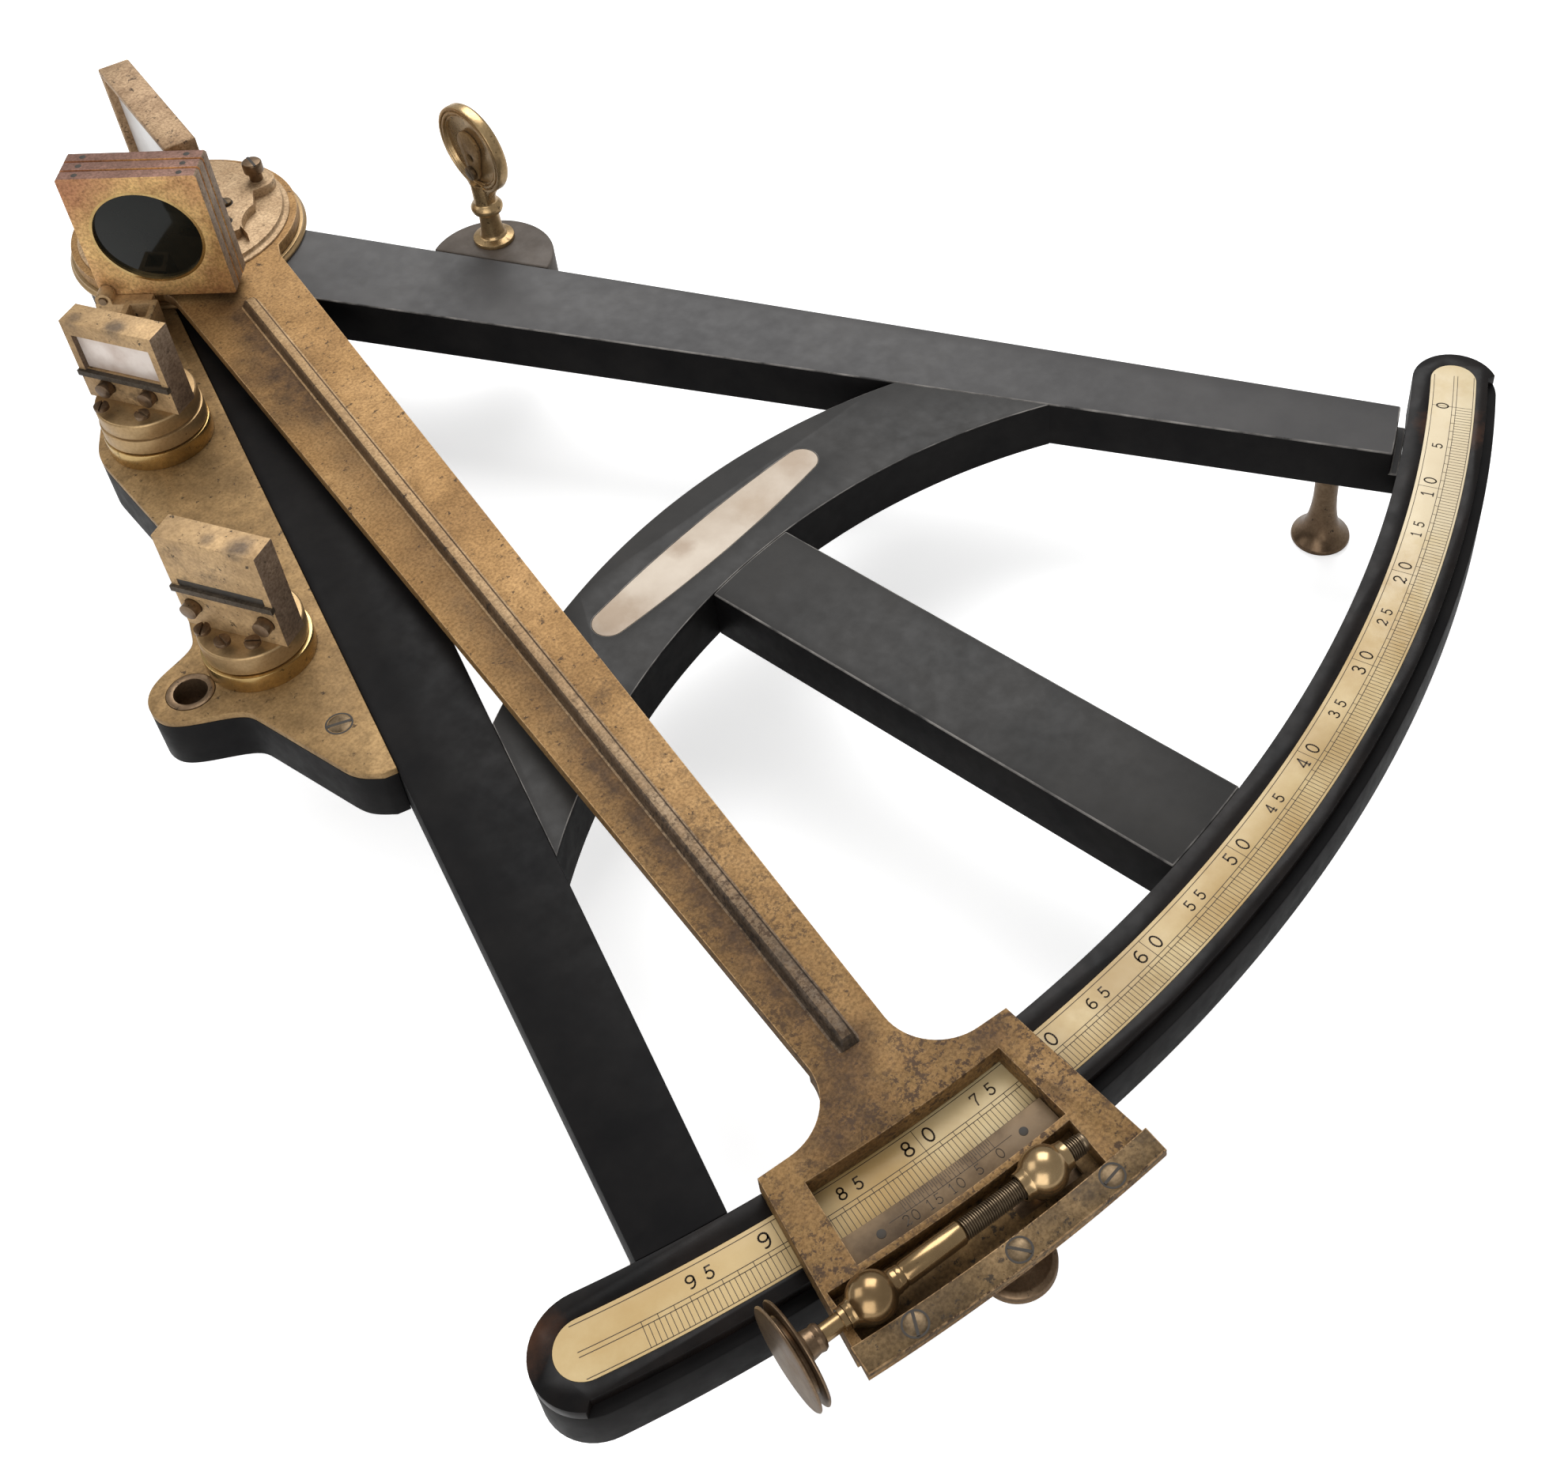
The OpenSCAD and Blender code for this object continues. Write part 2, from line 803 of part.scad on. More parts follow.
module index_arm() {
    neck_w = arm_half_w - arm_taper * end_in;
    rib_from = 42;
    rib_to = 308;
    color(brass)
        place()
            on_arm()
                difference() {
                    union() {
                        slab(arm_z, arm_t) {
                            circle(r = arm_head_r);
                            polygon([[0, -arm_half_w], [end_in + 1, -neck_w], [end_in + 1, neck_w], [0, arm_half_w]]);
                        }
                        slab(arm_gap, end_t)
                            intersection() {
                                end_plate_shape();
                                circle(r = end_out_r - edge_reach, $fn = big_fn);
                            }
                        slab(arm_top - edge_t, edge_t)
                            end_plate_shape();
                        translate([rib_from, -rib_w / 2, arm_top - eps])
                            cube([rib_to - rib_from, rib_w, rib_h + eps]);
                    }
                    slab(-1, 20)
                        window_shape();
                    slab(recess_z, 20)
                        slot_shape(slot_in, slot_out, fixed_ball_w - ball_r - 0.6, recess_right);
                    slab(-1, 20)
                        translate([tangent_u - post_r - slide_gap, moving_ball_w - post_reach])
                            square([2 * (post_r + slide_gap), 2 * post_reach]);
                    translate([tangent_u - shaft_r - 0.6, -end_half_out - 4, tangent_z - shaft_r - 0.5])
                        cube([2 * shaft_r + 1.2, 16, 10]);
                    translate([0, 0, -1])
                        cylinder(r = axle_r + joint_gap / 2, h = 20);
                }
}

module arm_strip() {
    color(brass)
        place()
            on_arm()
                difference() {
                    slab(arm_top, strip_t)
                        intersection() {
                            slot_shape(slot_out + 0.2, end_out_r + 0.6, -end_half_out, end_half_out);
                            circle(r = end_out_r, $fn = big_fn);
                        }
                    for (w = strip_screw_w)
                        strip_screw_place(w)
                            translate([0, 0, arm_top - 1])
                                cylinder(r = strip_screw_r + 0.05, h = 4);
                }
}

module strip_screw_place(w) translate([sqrt(pow(slot_out + strip_w / 2, 2) - w * w), w, 0])
    children();

module strip_screws() {
    color(dull_brass)
        place()
            on_arm()
                for (w = strip_screw_w)
                    strip_screw_place(w)
                        translate([0, 0, arm_top])
                            slotted_screw(strip_screw_r, strip_t, 0.9, 0, 40 + 3 * w);
}

module vernier_plate() {
    color(ivory)
        place()
            on_arm()
                difference() {
                    slab(arm_gap, 2)
                        intersection() {
                            difference() {
                                circle(r = vernier_out - joint_gap / 2, $fn = big_fn);
                                circle(r = vernier_in, $fn = big_fn);
                            }
                            polygon([[0, 0], [window_in, -window_half + 1 + joint_gap],
                                [vernier_out + 2, -window_half - 0.6 + joint_gap],
                                [vernier_out + 2, window_half + 0.6 - joint_gap],
                                [window_in, window_half - 1 - joint_gap]]);
                        }
                    vernier_pin_places()
                        cylinder(r = 0.9, h = 10);
                }
}

module vernier_pin_places() {
    for (a = [-vernier_pin_a, vernier_pin_a])
        rotate([0, 0, a])
            translate([vernier_in + 3.2, 0, 0])
                children();
}

module vernier_pins() {
    color(dull_brass)
        place()
            on_arm()
                vernier_pin_places()
                    translate([0, 0, arm_gap])
                        cylinder(r = 0.85, h = 2.15);
}

module arm_axle() {
    color(dull_brass)
        place()
            translate([0, 0, -frame_t - 6])
                cylinder(r = axle_r, h = frame_t + 6 + arm_top);
}

module axle_washer() {
    color(brass)
        place()
            translate([0, 0, -frame_t - slide_gap - 1.4])
                difference() {
                    cylinder(r = bush_out_r + 1, h = 1.4);
                    translate([0, 0, -1])
                        cylinder(r = axle_r + joint_gap / 2, h = 4);
                }
}

module axle_nut() {
    nut_t = 3.6;
    top = -frame_t - slide_gap - 1.4;
    color(brass)
        place()
            translate([0, 0, top - nut_t])
                difference() {
                    cylinder(r = axle_r + 2.4, h = nut_t);
                    translate([0, 0, -1])
                        cylinder(r = axle_r + joint_gap / 2, h = nut_t + 2);
                    for (a = [0, 180])
                        rotate([0, 0, a])
                            translate([axle_r + 1, -0.7, -1])
                                cube([4, 1.4, 2.2]);
                }
}

// Outline of the foot behind the mirror: a bar that narrows in an ogee to a round tail
module mirror_foot_shape() {
    near = mirror_t - mirror_front;
    bar = 4.2;
    half = mirror_reach - 3;
    translate([-half, near])
        square([2 * half, bar]);
    translate([-tail_r, near])
        square([2 * tail_r, tail_w - near]);
    translate([0, tail_w])
        circle(r = tail_r);
    for (s = [-1, 1])
        difference() {
            polygon([[0, near + 1], [s * (half - 1), near + bar - eps], [s * tail_r, near + bar + 8], [0, tail_w]]);
            translate([s * (half + 1.5), near + bar + 9.4])
                circle(r = 10.6);
        }
}

module mirror_base() {
    color(brass)
        place()
            on_arm()
                difference() {
                    union() {
                        slab(arm_top, mirror_base_t)
                            circle(r = mirror_base_r);
                        slab(mirror_z - eps, foot_plate_t)
                            mirror_foot_shape();
                    }
                    for (p = mirror_screw_points)
                        translate([p[0], p[1], arm_top + 1])
                            cylinder(r = p[2] + joint_gap / 2, h = 10);
                }
}

// Places and shank radii of the screws on the mirror's foot, the adjusting screw last
mirror_screw_points = [[5.2, 10.4, 0.9], [12.6, 7.2, 0.9], [0, tail_w, 1.4]];

module mirror_screws() {
    color(dull_brass)
        place()
            on_arm()
                for (i = [0, 1])
                    translate([mirror_screw_points[i][0], mirror_screw_points[i][1], mirror_z + foot_plate_t])
                        slotted_screw(1.6, 1, mirror_screw_points[i][2], 3, 50 * i);
}

module mirror_adjusting_screw() {
    color(dull_brass)
        place()
            on_arm()
                translate([0, tail_w, mirror_z + foot_plate_t])
                    difference() {
                        union() {
                            translate([0, 0, -3])
                                cylinder(r = 1.4, h = 3 + eps);
                            cylinder(r = 1.7, h = 3.2);
                            translate([0, 0, 2.6])
                                cylinder(r = 2.6, h = 3);
                        }
                        translate([-4, -0.35, 4.4])
                            cube([8, 0.7, 3]);
                    }
}

// Frame of the index mirror: back plate, rim and top bar; x along the arm, y behind the glass
module mirror_frame() {
    rim = 2;
    back_t = 3;
    y0 = -mirror_front;
    color(brass)
        place()
            on_arm()
                difference() {
                    translate([mirror_reach - mirror_l, y0, mirror_z])
                        cube([mirror_l, mirror_t, mirror_h]);
                    translate([mirror_reach - mirror_l + rim, y0 - 1, mirror_z + rim])
                        cube([mirror_l - 2 * rim, mirror_t - back_t + 1, mirror_h - 2 * rim]);
                }
}

module index_mirror() {
    rim = 2 + joint_gap;
    back_t = 3;
    thick = 3;
    y1 = mirror_t - mirror_front - back_t;
    color(mirror_glass)
        place()
            on_arm()
                translate([mirror_reach - mirror_l + rim, y1 - thick, mirror_z + rim])
                    cube([mirror_l - 2 * rim, thick, mirror_h - 2 * rim]);
}

// A ball drilled along the tangent screw, on a post that stands on the given height
module drilled_ball(w, hole_r, foot_z, foot_r) {
    difference() {
        union() {
            translate([tangent_u, w, tangent_z])
                sphere(r = ball_r);
            translate([tangent_u, w, foot_z])
                cylinder(r = foot_r, h = tangent_z - foot_z);
        }
        translate([tangent_u, w - ball_r - 1, tangent_z])
            rotate([-90, 0, 0])
                cylinder(r = hole_r, h = 2 * ball_r + 2);
    }
}

module fixed_ball() {
    color(brass)
        place()
            on_arm()
                drilled_ball(fixed_ball_w, shaft_r + turn_gap, recess_z, post_r);
}

module clamp_ball() {
    color(brass)
        place()
            on_arm()
                drilled_ball(moving_ball_w, thread_r + 0.3, clamp_top, post_r);
}

module tangent_screw() {
    barrel_from = fixed_ball_w + ball_r + 0.2;
    thread_from = barrel_from + 13.6;
    collar_to = fixed_ball_w - ball_r - 0.3;
    color(brass)
        place()
            on_arm()
                translate([tangent_u, 0, tangent_z])
                    rotate([-90, 0, 0]) {
                        translate([0, 0, knob_w + knob_t - 0.5])
                            cylinder(r = shaft_r, h = barrel_from - knob_w - knob_t + 0.5 + eps);
                        translate([0, 0, collar_to - 1.2])
                            cylinder(r = shaft_r + 0.5, h = 1.2);
                        translate([0, 0, barrel_from])
                            cylinder(r = barrel_r, h = thread_from - barrel_from);
                        translate([0, 0, thread_from - eps])
                            cylinder(r = thread_r, h = tail_to - thread_from);
                    }
}

module tangent_knob() {
    color(brass)
        place()
            on_arm()
                translate([tangent_u, knob_w, tangent_z])
                    rotate([-90, 0, 0])
                        rotate_extrude()
                            polygon([[0, 0], [knob_r - 1.4, 0], [knob_r - 0.3, 0.4], [knob_r, 1], [knob_r - 0.3, 1.5],
                                [knob_r - 1.3, 1.7], [knob_r - 1.3, 1.9], [knob_r - 1.5, 2.5], [knob_r - 2.2, knob_t - 0.5],
                                [0, knob_t - 0.5]]);
}

module clamp_block() {
    color(dull_brass)
        place()
            on_arm()
                difference() {
                    slab(jaw_z + slide_gap / 2, clamp_top - jaw_z - slide_gap / 2 - 0.02)
                        slot_shape(block_in, block_out, block_left, block_right);
                    translate([clamp_u, clamp_w, jaw_z - 1])
                        cylinder(r = 1.8 + turn_gap, h = frame_t - 2);
                }
}

module clamp_jaw() {
    color(brass)
        place()
            on_arm()
                difference() {
                    slab(block_bottom, jaw_t)
                        slot_shape(jaw_in, block_out, block_left + 2, block_right - 2);
                    translate([clamp_u, clamp_w, block_bottom - 1])
                        cylinder(r = 1.8 + turn_gap, h = jaw_t + 2);
                }
}

module clamp_screw() {
    head_t = 3.4;
    neck = 2.2;
    color(brass)
        place()
            on_arm()
                translate([clamp_u, clamp_w, block_bottom - 0.2 - neck - head_t]) {
                    rotate_extrude()
                        polygon([[0, 0], [clamp_knob_r - 1.2, 0], [clamp_knob_r, 0.6], [clamp_knob_r, head_t - 1.2],
                            [clamp_knob_r - 1, head_t - 0.6], [3.2, head_t], [3.2, head_t + neck], [0, head_t + neck]]);
                    cylinder(r = 1.8, h = head_t + neck + jaw_t + 8);
                }
}

module shade_bracket() {
    lat0 = shade_lat - shade_w / 2 - 0.4;
    lat1 = socket_lat + post_w / 2 - 2;
    post_top = pin_z - 0.6;
    base_z = plate_up + 0.1;
    post_d0 = bracket_d0 + bracket_t - 0.8;
    color(brass)
        place()
            on_shade()
                difference() {
                    union() {
                        translate([bracket_d0, 0, 0])
                            rotate([90, 0, 90])
                                linear_extrude(height = bracket_t) {
                                    translate([lat0, base_z])
                                        square([lat1 - lat0, pin_z - corner_r - base_z + 0.8]);
                                    translate([pin_y - corner_r, base_z])
                                        square([2 * corner_r, pin_z - base_z]);
                                    translate([pin_y, pin_z])
                                        circle(r = corner_r);
                                }
                        translate([post_d0, socket_lat - post_w / 2, base_z])
                            cube([socket_d + post_w / 2 - post_d0, post_w, post_top - base_z]);
                        translate([socket_d, socket_lat, -frame_t + 1.5])
                            cylinder(r = stem_r, h = frame_t + base_z - 1.5 + eps);
                    }
                    cylinder(r = pivot_r + joint_gap, h = pivot_t + slide_gap, $fn = big_fn);
                    translate([socket_d - post_w / 2 + 1.5, socket_lat - post_w / 2 + 1.5, post_top - 4])
                        cube([post_w - 3, post_w - 3, 5]);
                    translate([bracket_d0 - 1, pin_y, pin_z])
                        rotate([0, 90, 0])
                            cylinder(r = pin_r + joint_gap / 4, h = bracket_t + 2);
                }
}

module shade_pin() {
    color(dull_brass)
        place()
            on_shade()
                translate([0, pin_y, pin_z])
                    rotate([0, 90, 0]) {
                        translate([0, 0, shade_near - 1.1])
                            cylinder(r = pin_r + 0.7, h = 0.9);
                        translate([0, 0, shade_near - 0.3])
                            cylinder(r = pin_r, h = bracket_d0 + bracket_t - shade_near + 0.8);
                    }
}

// One shade frame, number 0 nearest the pivot
module shade_frame(i) {
    d0 = shade_near + i * shade_pitch;
    lip = 0.6;
    color(brass)
        place()
            on_shade()
                translate([d0, 0, 0])
                    rotate([90, 0, 90])
                        difference() {
                            linear_extrude(height = shade_t) {
                                translate([shade_lat - shade_w / 2 + corner_r, shade_z])
                                    square([shade_w - corner_r, shade_h]);
                                translate([shade_lat - shade_w / 2, pin_z])
                                    square([corner_r + eps, shade_h - corner_r]);
                                translate([pin_y, pin_z])
                                    circle(r = corner_r);
                            }
                            translate([shade_lat, shade_mid_z, -1])
                                cylinder(r = shade_glass_r, h = shade_t + 2);
                            translate([shade_lat, shade_mid_z, -1])
                                cylinder(r = shade_glass_r + 0.8, h = shade_t - lip + 1);
                            translate([pin_y, pin_z, -1])
                                cylinder(r = pin_r + turn_gap, h = shade_t + 2);
                        }
}

module shade_glass(i) {
    d0 = shade_near + i * shade_pitch;
    color(dark_glass)
        place()
            on_shade()
                translate([d0 + 0.4, shade_lat, shade_mid_z])
                    rotate([0, 90, 0])
                        cylinder(r = shade_glass_r + 0.7, h = shade_t - 1);
}

module rear_shade_frame() shade_frame(0);
module rear_shade_glass() shade_glass(0);
module middle_shade_frame() shade_frame(1);
module middle_shade_glass() shade_glass(1);
module front_shade_frame() shade_frame(2);
module front_shade_glass() shade_glass(2);

// Frame of a horizon glass: x faces forward, y across
module on_glass(c) translate([c[0], c[1], 0])
    rotate([0, 0, glass_dir])
        children();

module turntable(c, r, front, t) {
    place()
        on_glass(c) {
            translate([0, 0, turn_z])
                rotate_extrude()
                    polygon(t < 1.4 * ring_t ? [[0, 0], [r - 0.6, 0], [r - 0.6, t], [0, t]]
                        : [[0, 0], [r - 0.3, 0], [r - 0.3, t / 2 - 0.25], [r - 1.1, t / 2 - 0.25],
                            [r - 1.1, t / 2 + 0.15], [r - 0.6, t / 2 + 0.15], [r - 0.6, t], [0, t]]);
            translate([0, 0, lever_z - 1.2])
                cylinder(r = turn_axle_r, h = turn_z - lever_z + 1.2 + eps);
            intersection() {
                translate([0, 0, turn_z + t - eps])
                    cylinder(r = r - 1.6, h = 1.6);
                translate([front + joint_gap, -r, 0])
                    cube([2 * r, 2 * r, turn_z + t + 10]);
            }
        }
}

// Housing of a horizon glass: solid foot, side cheeks and a top bar round the opening
module glass_housing(c, glass_z, front, h, sill, cheek, bar, front_wall) {
    w = glass_w;
    x0 = front - glass_d;
    back_t = 1.6;
    place()
        on_glass(c)
            difference() {
                union() {
                    translate([x0, -w / 2, glass_z])
                        cube([glass_d, w, h]);
                    translate([front - eps, -w / 2, glass_z + sill - 1.4])
                        cube([0.7, w, 1.4]);
                }
                translate([x0 + back_t, -w / 2 + cheek, glass_z + sill])
                    cube([glass_d - back_t - front_wall, w - 2 * cheek, h - sill - bar]);
                translate([x0 - 1, -w / 2 + cheek + 1.5, glass_z + sill + 1.5])
                    cube([glass_d, w - 2 * cheek - 3, (h - sill - bar - 3) * (front_wall > 0 ? 1 : 0.5)]);
                if (front_wall > 0)
                    translate([x0 + back_t, -w / 2 + cheek, glass_z + sill])
                        cube([glass_d, w - 2 * cheek, 1.9]);
                for (s = [-1, 1])
                    translate([front - 3, s * (front_wall > 0 ? back_capstan_w : fore_capstan_w), glass_z + sill * 0.52])
                        rotate([0, 90, 0])
                            cylinder(r = 2, h = 5);
            }
}

module glass_pane(c, glass_z, front, h, sill, cheek, bar, pane_t) {
    x0 = front - glass_d;
    back_t = 1.6;
    gap = joint_gap;
    place()
        on_glass(c)
            translate([x0 + back_t + gap, -glass_w / 2 + cheek + gap, glass_z + sill + gap])
                cube([pane_t, glass_w - 2 * (cheek + gap), h - sill - bar - 2 * gap]);
}

// Capstan screws in the foot of the housing and slotted screws on the round base
module glass_screws(c, glass_z, front, sill, capstan_w, spots) {
    place()
        on_glass(c) {
            for (s = [-1, 1])
                translate([front - 3 + joint_gap, s * capstan_w, glass_z + sill * 0.52])
                    rotate([0, 90, 0]) {
                        cylinder(r = 1.5, h = 4.2);
                        translate([0, 0, 2.6])
                            cylinder(r = 1.9, h = 2.4);
                    }
            for (p = spots)
                translate([p[0], p[1], glass_z + 1.6])
                    slotted_screw(1.7, 0.9, 0.8, 0, p[2]);
        }
}

fore_sill = 8.2;
back_sill = 12;
fore_capstan_w = 5.6;
back_capstan_w = 8.6;
fore_cheek = 1.8;
fore_bar = 4;
back_bar = 3;
back_wall = 2;

module fore_turntable() {
    color(brass)
        turntable(fore_c, fore_r, fore_front, fore_turn_t);
}

module fore_frame() {
    color(brass)
        glass_housing(fore_c, fore_z, fore_front, fore_h, fore_sill, fore_cheek, fore_bar, 0);
}

module fore_mirror() {
    color(mirror_glass)
        glass_pane(fore_c, fore_z, fore_front, fore_h, fore_sill, fore_cheek, fore_bar, glass_d - 2.9);
}

module fore_screws() {
    color(dull_brass)
        glass_screws(fore_c, fore_z, fore_front, fore_sill, fore_capstan_w, [[8.6, -5, 20], [8.2, 5.6, 70]]);
}

module back_turntable() {
    color(brass)
        turntable(back_c, back_r, back_front, back_turn_t);
}

module back_frame() {
    color(brass)
        glass_housing(back_c, back_z, back_front, back_h, back_sill, fore_cheek, back_bar, back_wall);
}

module back_mirror() {
    color(mirror_glass)
        glass_pane(back_c, back_z, back_front, back_h, back_sill, fore_cheek, back_bar, 2);
}

module back_screws() {
    color(dull_brass)
        glass_screws(back_c, back_z, back_front, back_sill, back_capstan_w, [[6.6, -6.4, 20], [8.2, -0.6, 60], [6.6, 5.6, 110]]);
}

// Adjusting lever under the frame, keyed on the turning axle
module lever(c, dir, long) {
    place()
        translate([c[0], c[1], 0])
            rotate([0, 0, dir])
                difference() {
                    slab(lever_z, lever_t)
                        capsule([0, 0], 6.2, [long, 0], 3);
                    translate([0, 0, lever_z - 1])
                        cylinder(r = turn_axle_r + joint_gap / 4, h = lever_t + 2);
                }
}

module fore_lever() {
    color(dull_brass)
        lever(fore_c, -105, 26);
}

module back_lever() {
    color(dull_brass)
        lever(back_c, -92, 26);
}

arc_limb();
right_limb();
left_limb();
cross_brace();
centre_strut();
sight_boss();
horizon_platform();
scale_plate();
name_plate();
horizon_plate();
plate_screws();
pivot_plate();
centre_bush();
feet();
front_shade_socket();
back_shade_socket();
fore_base_ring();
back_base_ring();
sight_post();
index_arm();
arm_strip();
strip_screws();
vernier_plate();
vernier_pins();
arm_axle();
axle_washer();
axle_nut();
mirror_base();
mirror_frame();
index_mirror();
mirror_screws();
mirror_adjusting_screw();
fixed_ball();
tangent_screw();
tangent_knob();
clamp_block();
clamp_ball();
clamp_jaw();
clamp_screw();
shade_bracket();
shade_pin();
rear_shade_frame();
rear_shade_glass();
middle_shade_frame();
middle_shade_glass();
front_shade_frame();
front_shade_glass();
fore_turntable();
fore_frame();
fore_mirror();
fore_screws();
fore_lever();
back_turntable();
back_frame();
back_mirror();
back_screws();
back_lever();
sight_shutter();
shutter_screw();
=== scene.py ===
import json
import math

import bmesh
import bpy
from mathutils import Matrix, Vector


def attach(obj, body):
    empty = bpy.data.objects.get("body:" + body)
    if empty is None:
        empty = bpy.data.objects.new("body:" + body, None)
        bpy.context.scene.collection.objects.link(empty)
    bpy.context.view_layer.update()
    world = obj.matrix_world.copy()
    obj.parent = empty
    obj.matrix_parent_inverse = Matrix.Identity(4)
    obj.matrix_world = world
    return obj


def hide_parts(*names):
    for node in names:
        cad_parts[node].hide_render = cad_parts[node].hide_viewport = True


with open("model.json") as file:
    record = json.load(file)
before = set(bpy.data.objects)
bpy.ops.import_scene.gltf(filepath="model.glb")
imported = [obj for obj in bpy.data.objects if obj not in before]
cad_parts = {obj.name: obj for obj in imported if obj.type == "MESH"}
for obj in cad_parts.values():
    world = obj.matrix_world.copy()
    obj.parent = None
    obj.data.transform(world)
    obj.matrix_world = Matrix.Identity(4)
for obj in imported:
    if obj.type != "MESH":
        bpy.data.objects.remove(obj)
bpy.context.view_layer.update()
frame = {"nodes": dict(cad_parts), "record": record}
sin, cos, asin, sqrt, hypot, pi = math.sin, math.cos, math.asin, math.sqrt, math.hypot, math.pi
rad, degrees = math.radians, math.degrees

# Placing: model millimetres about the pivot become metres in the row frame
ARM_A = rad(-105.35)
END_R = 359.3
Y_SHIFT = -(END_R * sin(ARM_A + asin(31 / END_R)) + 30) / 2
Z_SHIFT = 40.0
ROW = Matrix.Scale(0.001, 4) @ Matrix.Translation((0, Y_SHIFT, Z_SHIFT))
ARM = Matrix.Rotation(ARM_A, 4, "Z")
SHADE_LAT = 5.0
SHADE = Matrix.Rotation(rad(-140.8), 4, "Z") @ Matrix.Translation((0, SHADE_LAT, 0))
FORE_C = (-52.5, -58.8)
BACK_C = (-82.0, -132.7)
GLASS_A = rad(-160.7)
SIGHT_C = (47.9, -64.7)
SIGHT = Matrix.Translation((SIGHT_C[0], SIGHT_C[1], 0)) @ Matrix.Rotation(rad(175), 4, "Z")
SIGHT_Z = 28.6
FRONT_SOCKET = (-31.764, -25.132)
BACK_SOCKET = (-98.2, -129.6)
TANGENT_U = 348.0
TANGENT_Z = 6.2
FRAME_T = 13.0
PLATE_T = 0.8
ARM_TOP = 5.3
MIRROR_Z = 7.3
I4 = Matrix.Identity(4)
TO_X = Matrix.Rotation(rad(90), 4, "Y")
TO_Y = Matrix.Rotation(rad(-90), 4, "X")


def at(x, y, z=0.0):
    return Matrix.Translation((x, y, z))


def turn(a):
    return Matrix.Rotation(rad(a), 4, "Z")


def bearing(x, y):
    return degrees(math.atan2(y, x))


def span(w, r):
    """The angle, in degrees, that a half width takes up at a radius."""
    return degrees(asin(w / r))


# Materials
def new_material(name):
    m = bpy.data.materials.new(name)
    m.use_nodes = True
    t = m.node_tree
    return m, t, t.nodes["Principled BSDF"]


def shader(t, kind, inputs, **settings):
    """Outputs of a new shader node, with its settings, and its inputs as values or linked from sockets."""
    n = t.nodes.new("ShaderNode" + kind)
    for name, value in settings.items():
        setattr(n, name, value)
    for key, value in inputs.items():
        if isinstance(value, bpy.types.NodeSocket):
            t.links.new(value, n.inputs[key])
        else:
            n.inputs[key].default_value = value
    return n.outputs


def calc(t, operation, *terms):
    return shader(t, "Math", dict(enumerate(terms)), operation=operation)[0]


def object_place(t):
    return shader(t, "TexCoord", {})["Object"]


def noise(t, scale, detail, rough=0.55):
    return shader(t, "TexNoise", {"Scale": scale, "Detail": detail, "Roughness": rough,
                                  "Vector": object_place(t)})["Fac"]


def rgba(c):
    return (*c, 1) if isinstance(c, tuple) else c


def ramp(t, fac, stops):
    """Colours, or grey levels as plain numbers, at places between 0 and 1."""
    r = t.nodes.new("ShaderNodeValToRGB")
    e = r.color_ramp.elements
    while len(e) < len(stops):
        e.new(0.5)
    for k, (p, c) in enumerate(stops):
        e[k].position = p
        e[k].color = rgba(c if isinstance(c, tuple) else (c, c, c))
    t.links.new(fac, r.inputs["Fac"])
    return r.outputs["Color"]


def blend_colour(t, fac, a, b, blend="MIX"):
    return shader(t, "Mix", {0: fac, 6: rgba(a), 7: rgba(b)}, data_type="RGBA", blend_type=blend)[2]


def bump(t, bsdf, height, strength, distance):
    normal = shader(t, "Bump", {"Strength": strength, "Distance": distance, "Height": height})["Normal"]
    t.links.new(normal, bsdf.inputs["Normal"])


def map_range(t, value, lo, hi, top=1.0):
    return shader(t, "MapRange", {"From Min": lo, "From Max": hi, "To Max": top, "Value": value})["Result"]


def along_y(t, lo, hi):
    """Rises from 0 to 1 between two places along the object's length, in metres."""
    return map_range(t, shader(t, "SeparateXYZ", {0: object_place(t)})[1], lo, hi)


def blot(t, col, place, r, share, colour, soft=0.7):
    """A ragged patch of another tone about a place, in model millimetres: a stain, or painted shade where the arm's
    list asks for it; full inside r * (1 - soft), gone at r.
    """
    away = shader(t, "VectorMath", {0: object_place(t), 1: ROW @ Vector(place)}, operation="DISTANCE")["Value"]
    wobble = calc(t, "MULTIPLY_ADD", noise(t, 170, 6, 0.68), 2 * soft * r / 1000, away)
    return blend_colour(t, map_range(t, wobble, r * (1 + soft) / 1000, r / 1000, share), col, colour)


def beside_rib(t):
    """Rises towards the rib on its shaded side: a painted shadow of the rib, with dirt that polishing never reached.
    """
    pivot = Matrix.Rotation(-ARM_A, 3, "Z") @ Vector((0, -Y_SHIFT / 1000, 0))
    on_arm = shader(t, "Mapping", {"Rotation": (0, 0, -ARM_A), "Location": pivot,
                                   "Vector": object_place(t)})["Vector"]
    across = shader(t, "SeparateXYZ", {0: on_arm})[1]
    wobble = calc(t, "MULTIPLY_ADD", noise(t, 120, 6, 0.7), 0.007, across)
    near = map_range(t, wobble, -0.0075, -0.001)
    shaded = map_range(t, across, 0.0008, -0.0008)
    patchy = ramp(t, noise(t, 17, 3, 0.6), [(0.36, 0.35), (0.56, 0.95)])
    return calc(t, "MULTIPLY", calc(t, "MULTIPLY", near, shaded), patchy)


def finish(t, b, col, rough, metal, gloss):
    """Sets the colour and the gloss; rough is the roughness factor's source and its two limits."""
    t.links.new(col, b.inputs["Base Color"])
    t.links.new(ramp(t, rough[0], [(0.3, rough[1][0]), (0.7, rough[1][1])]), b.inputs["Roughness"])
    b.inputs["Metallic"].default_value = metal
    b.inputs["Specular IOR Level"].default_value = gloss


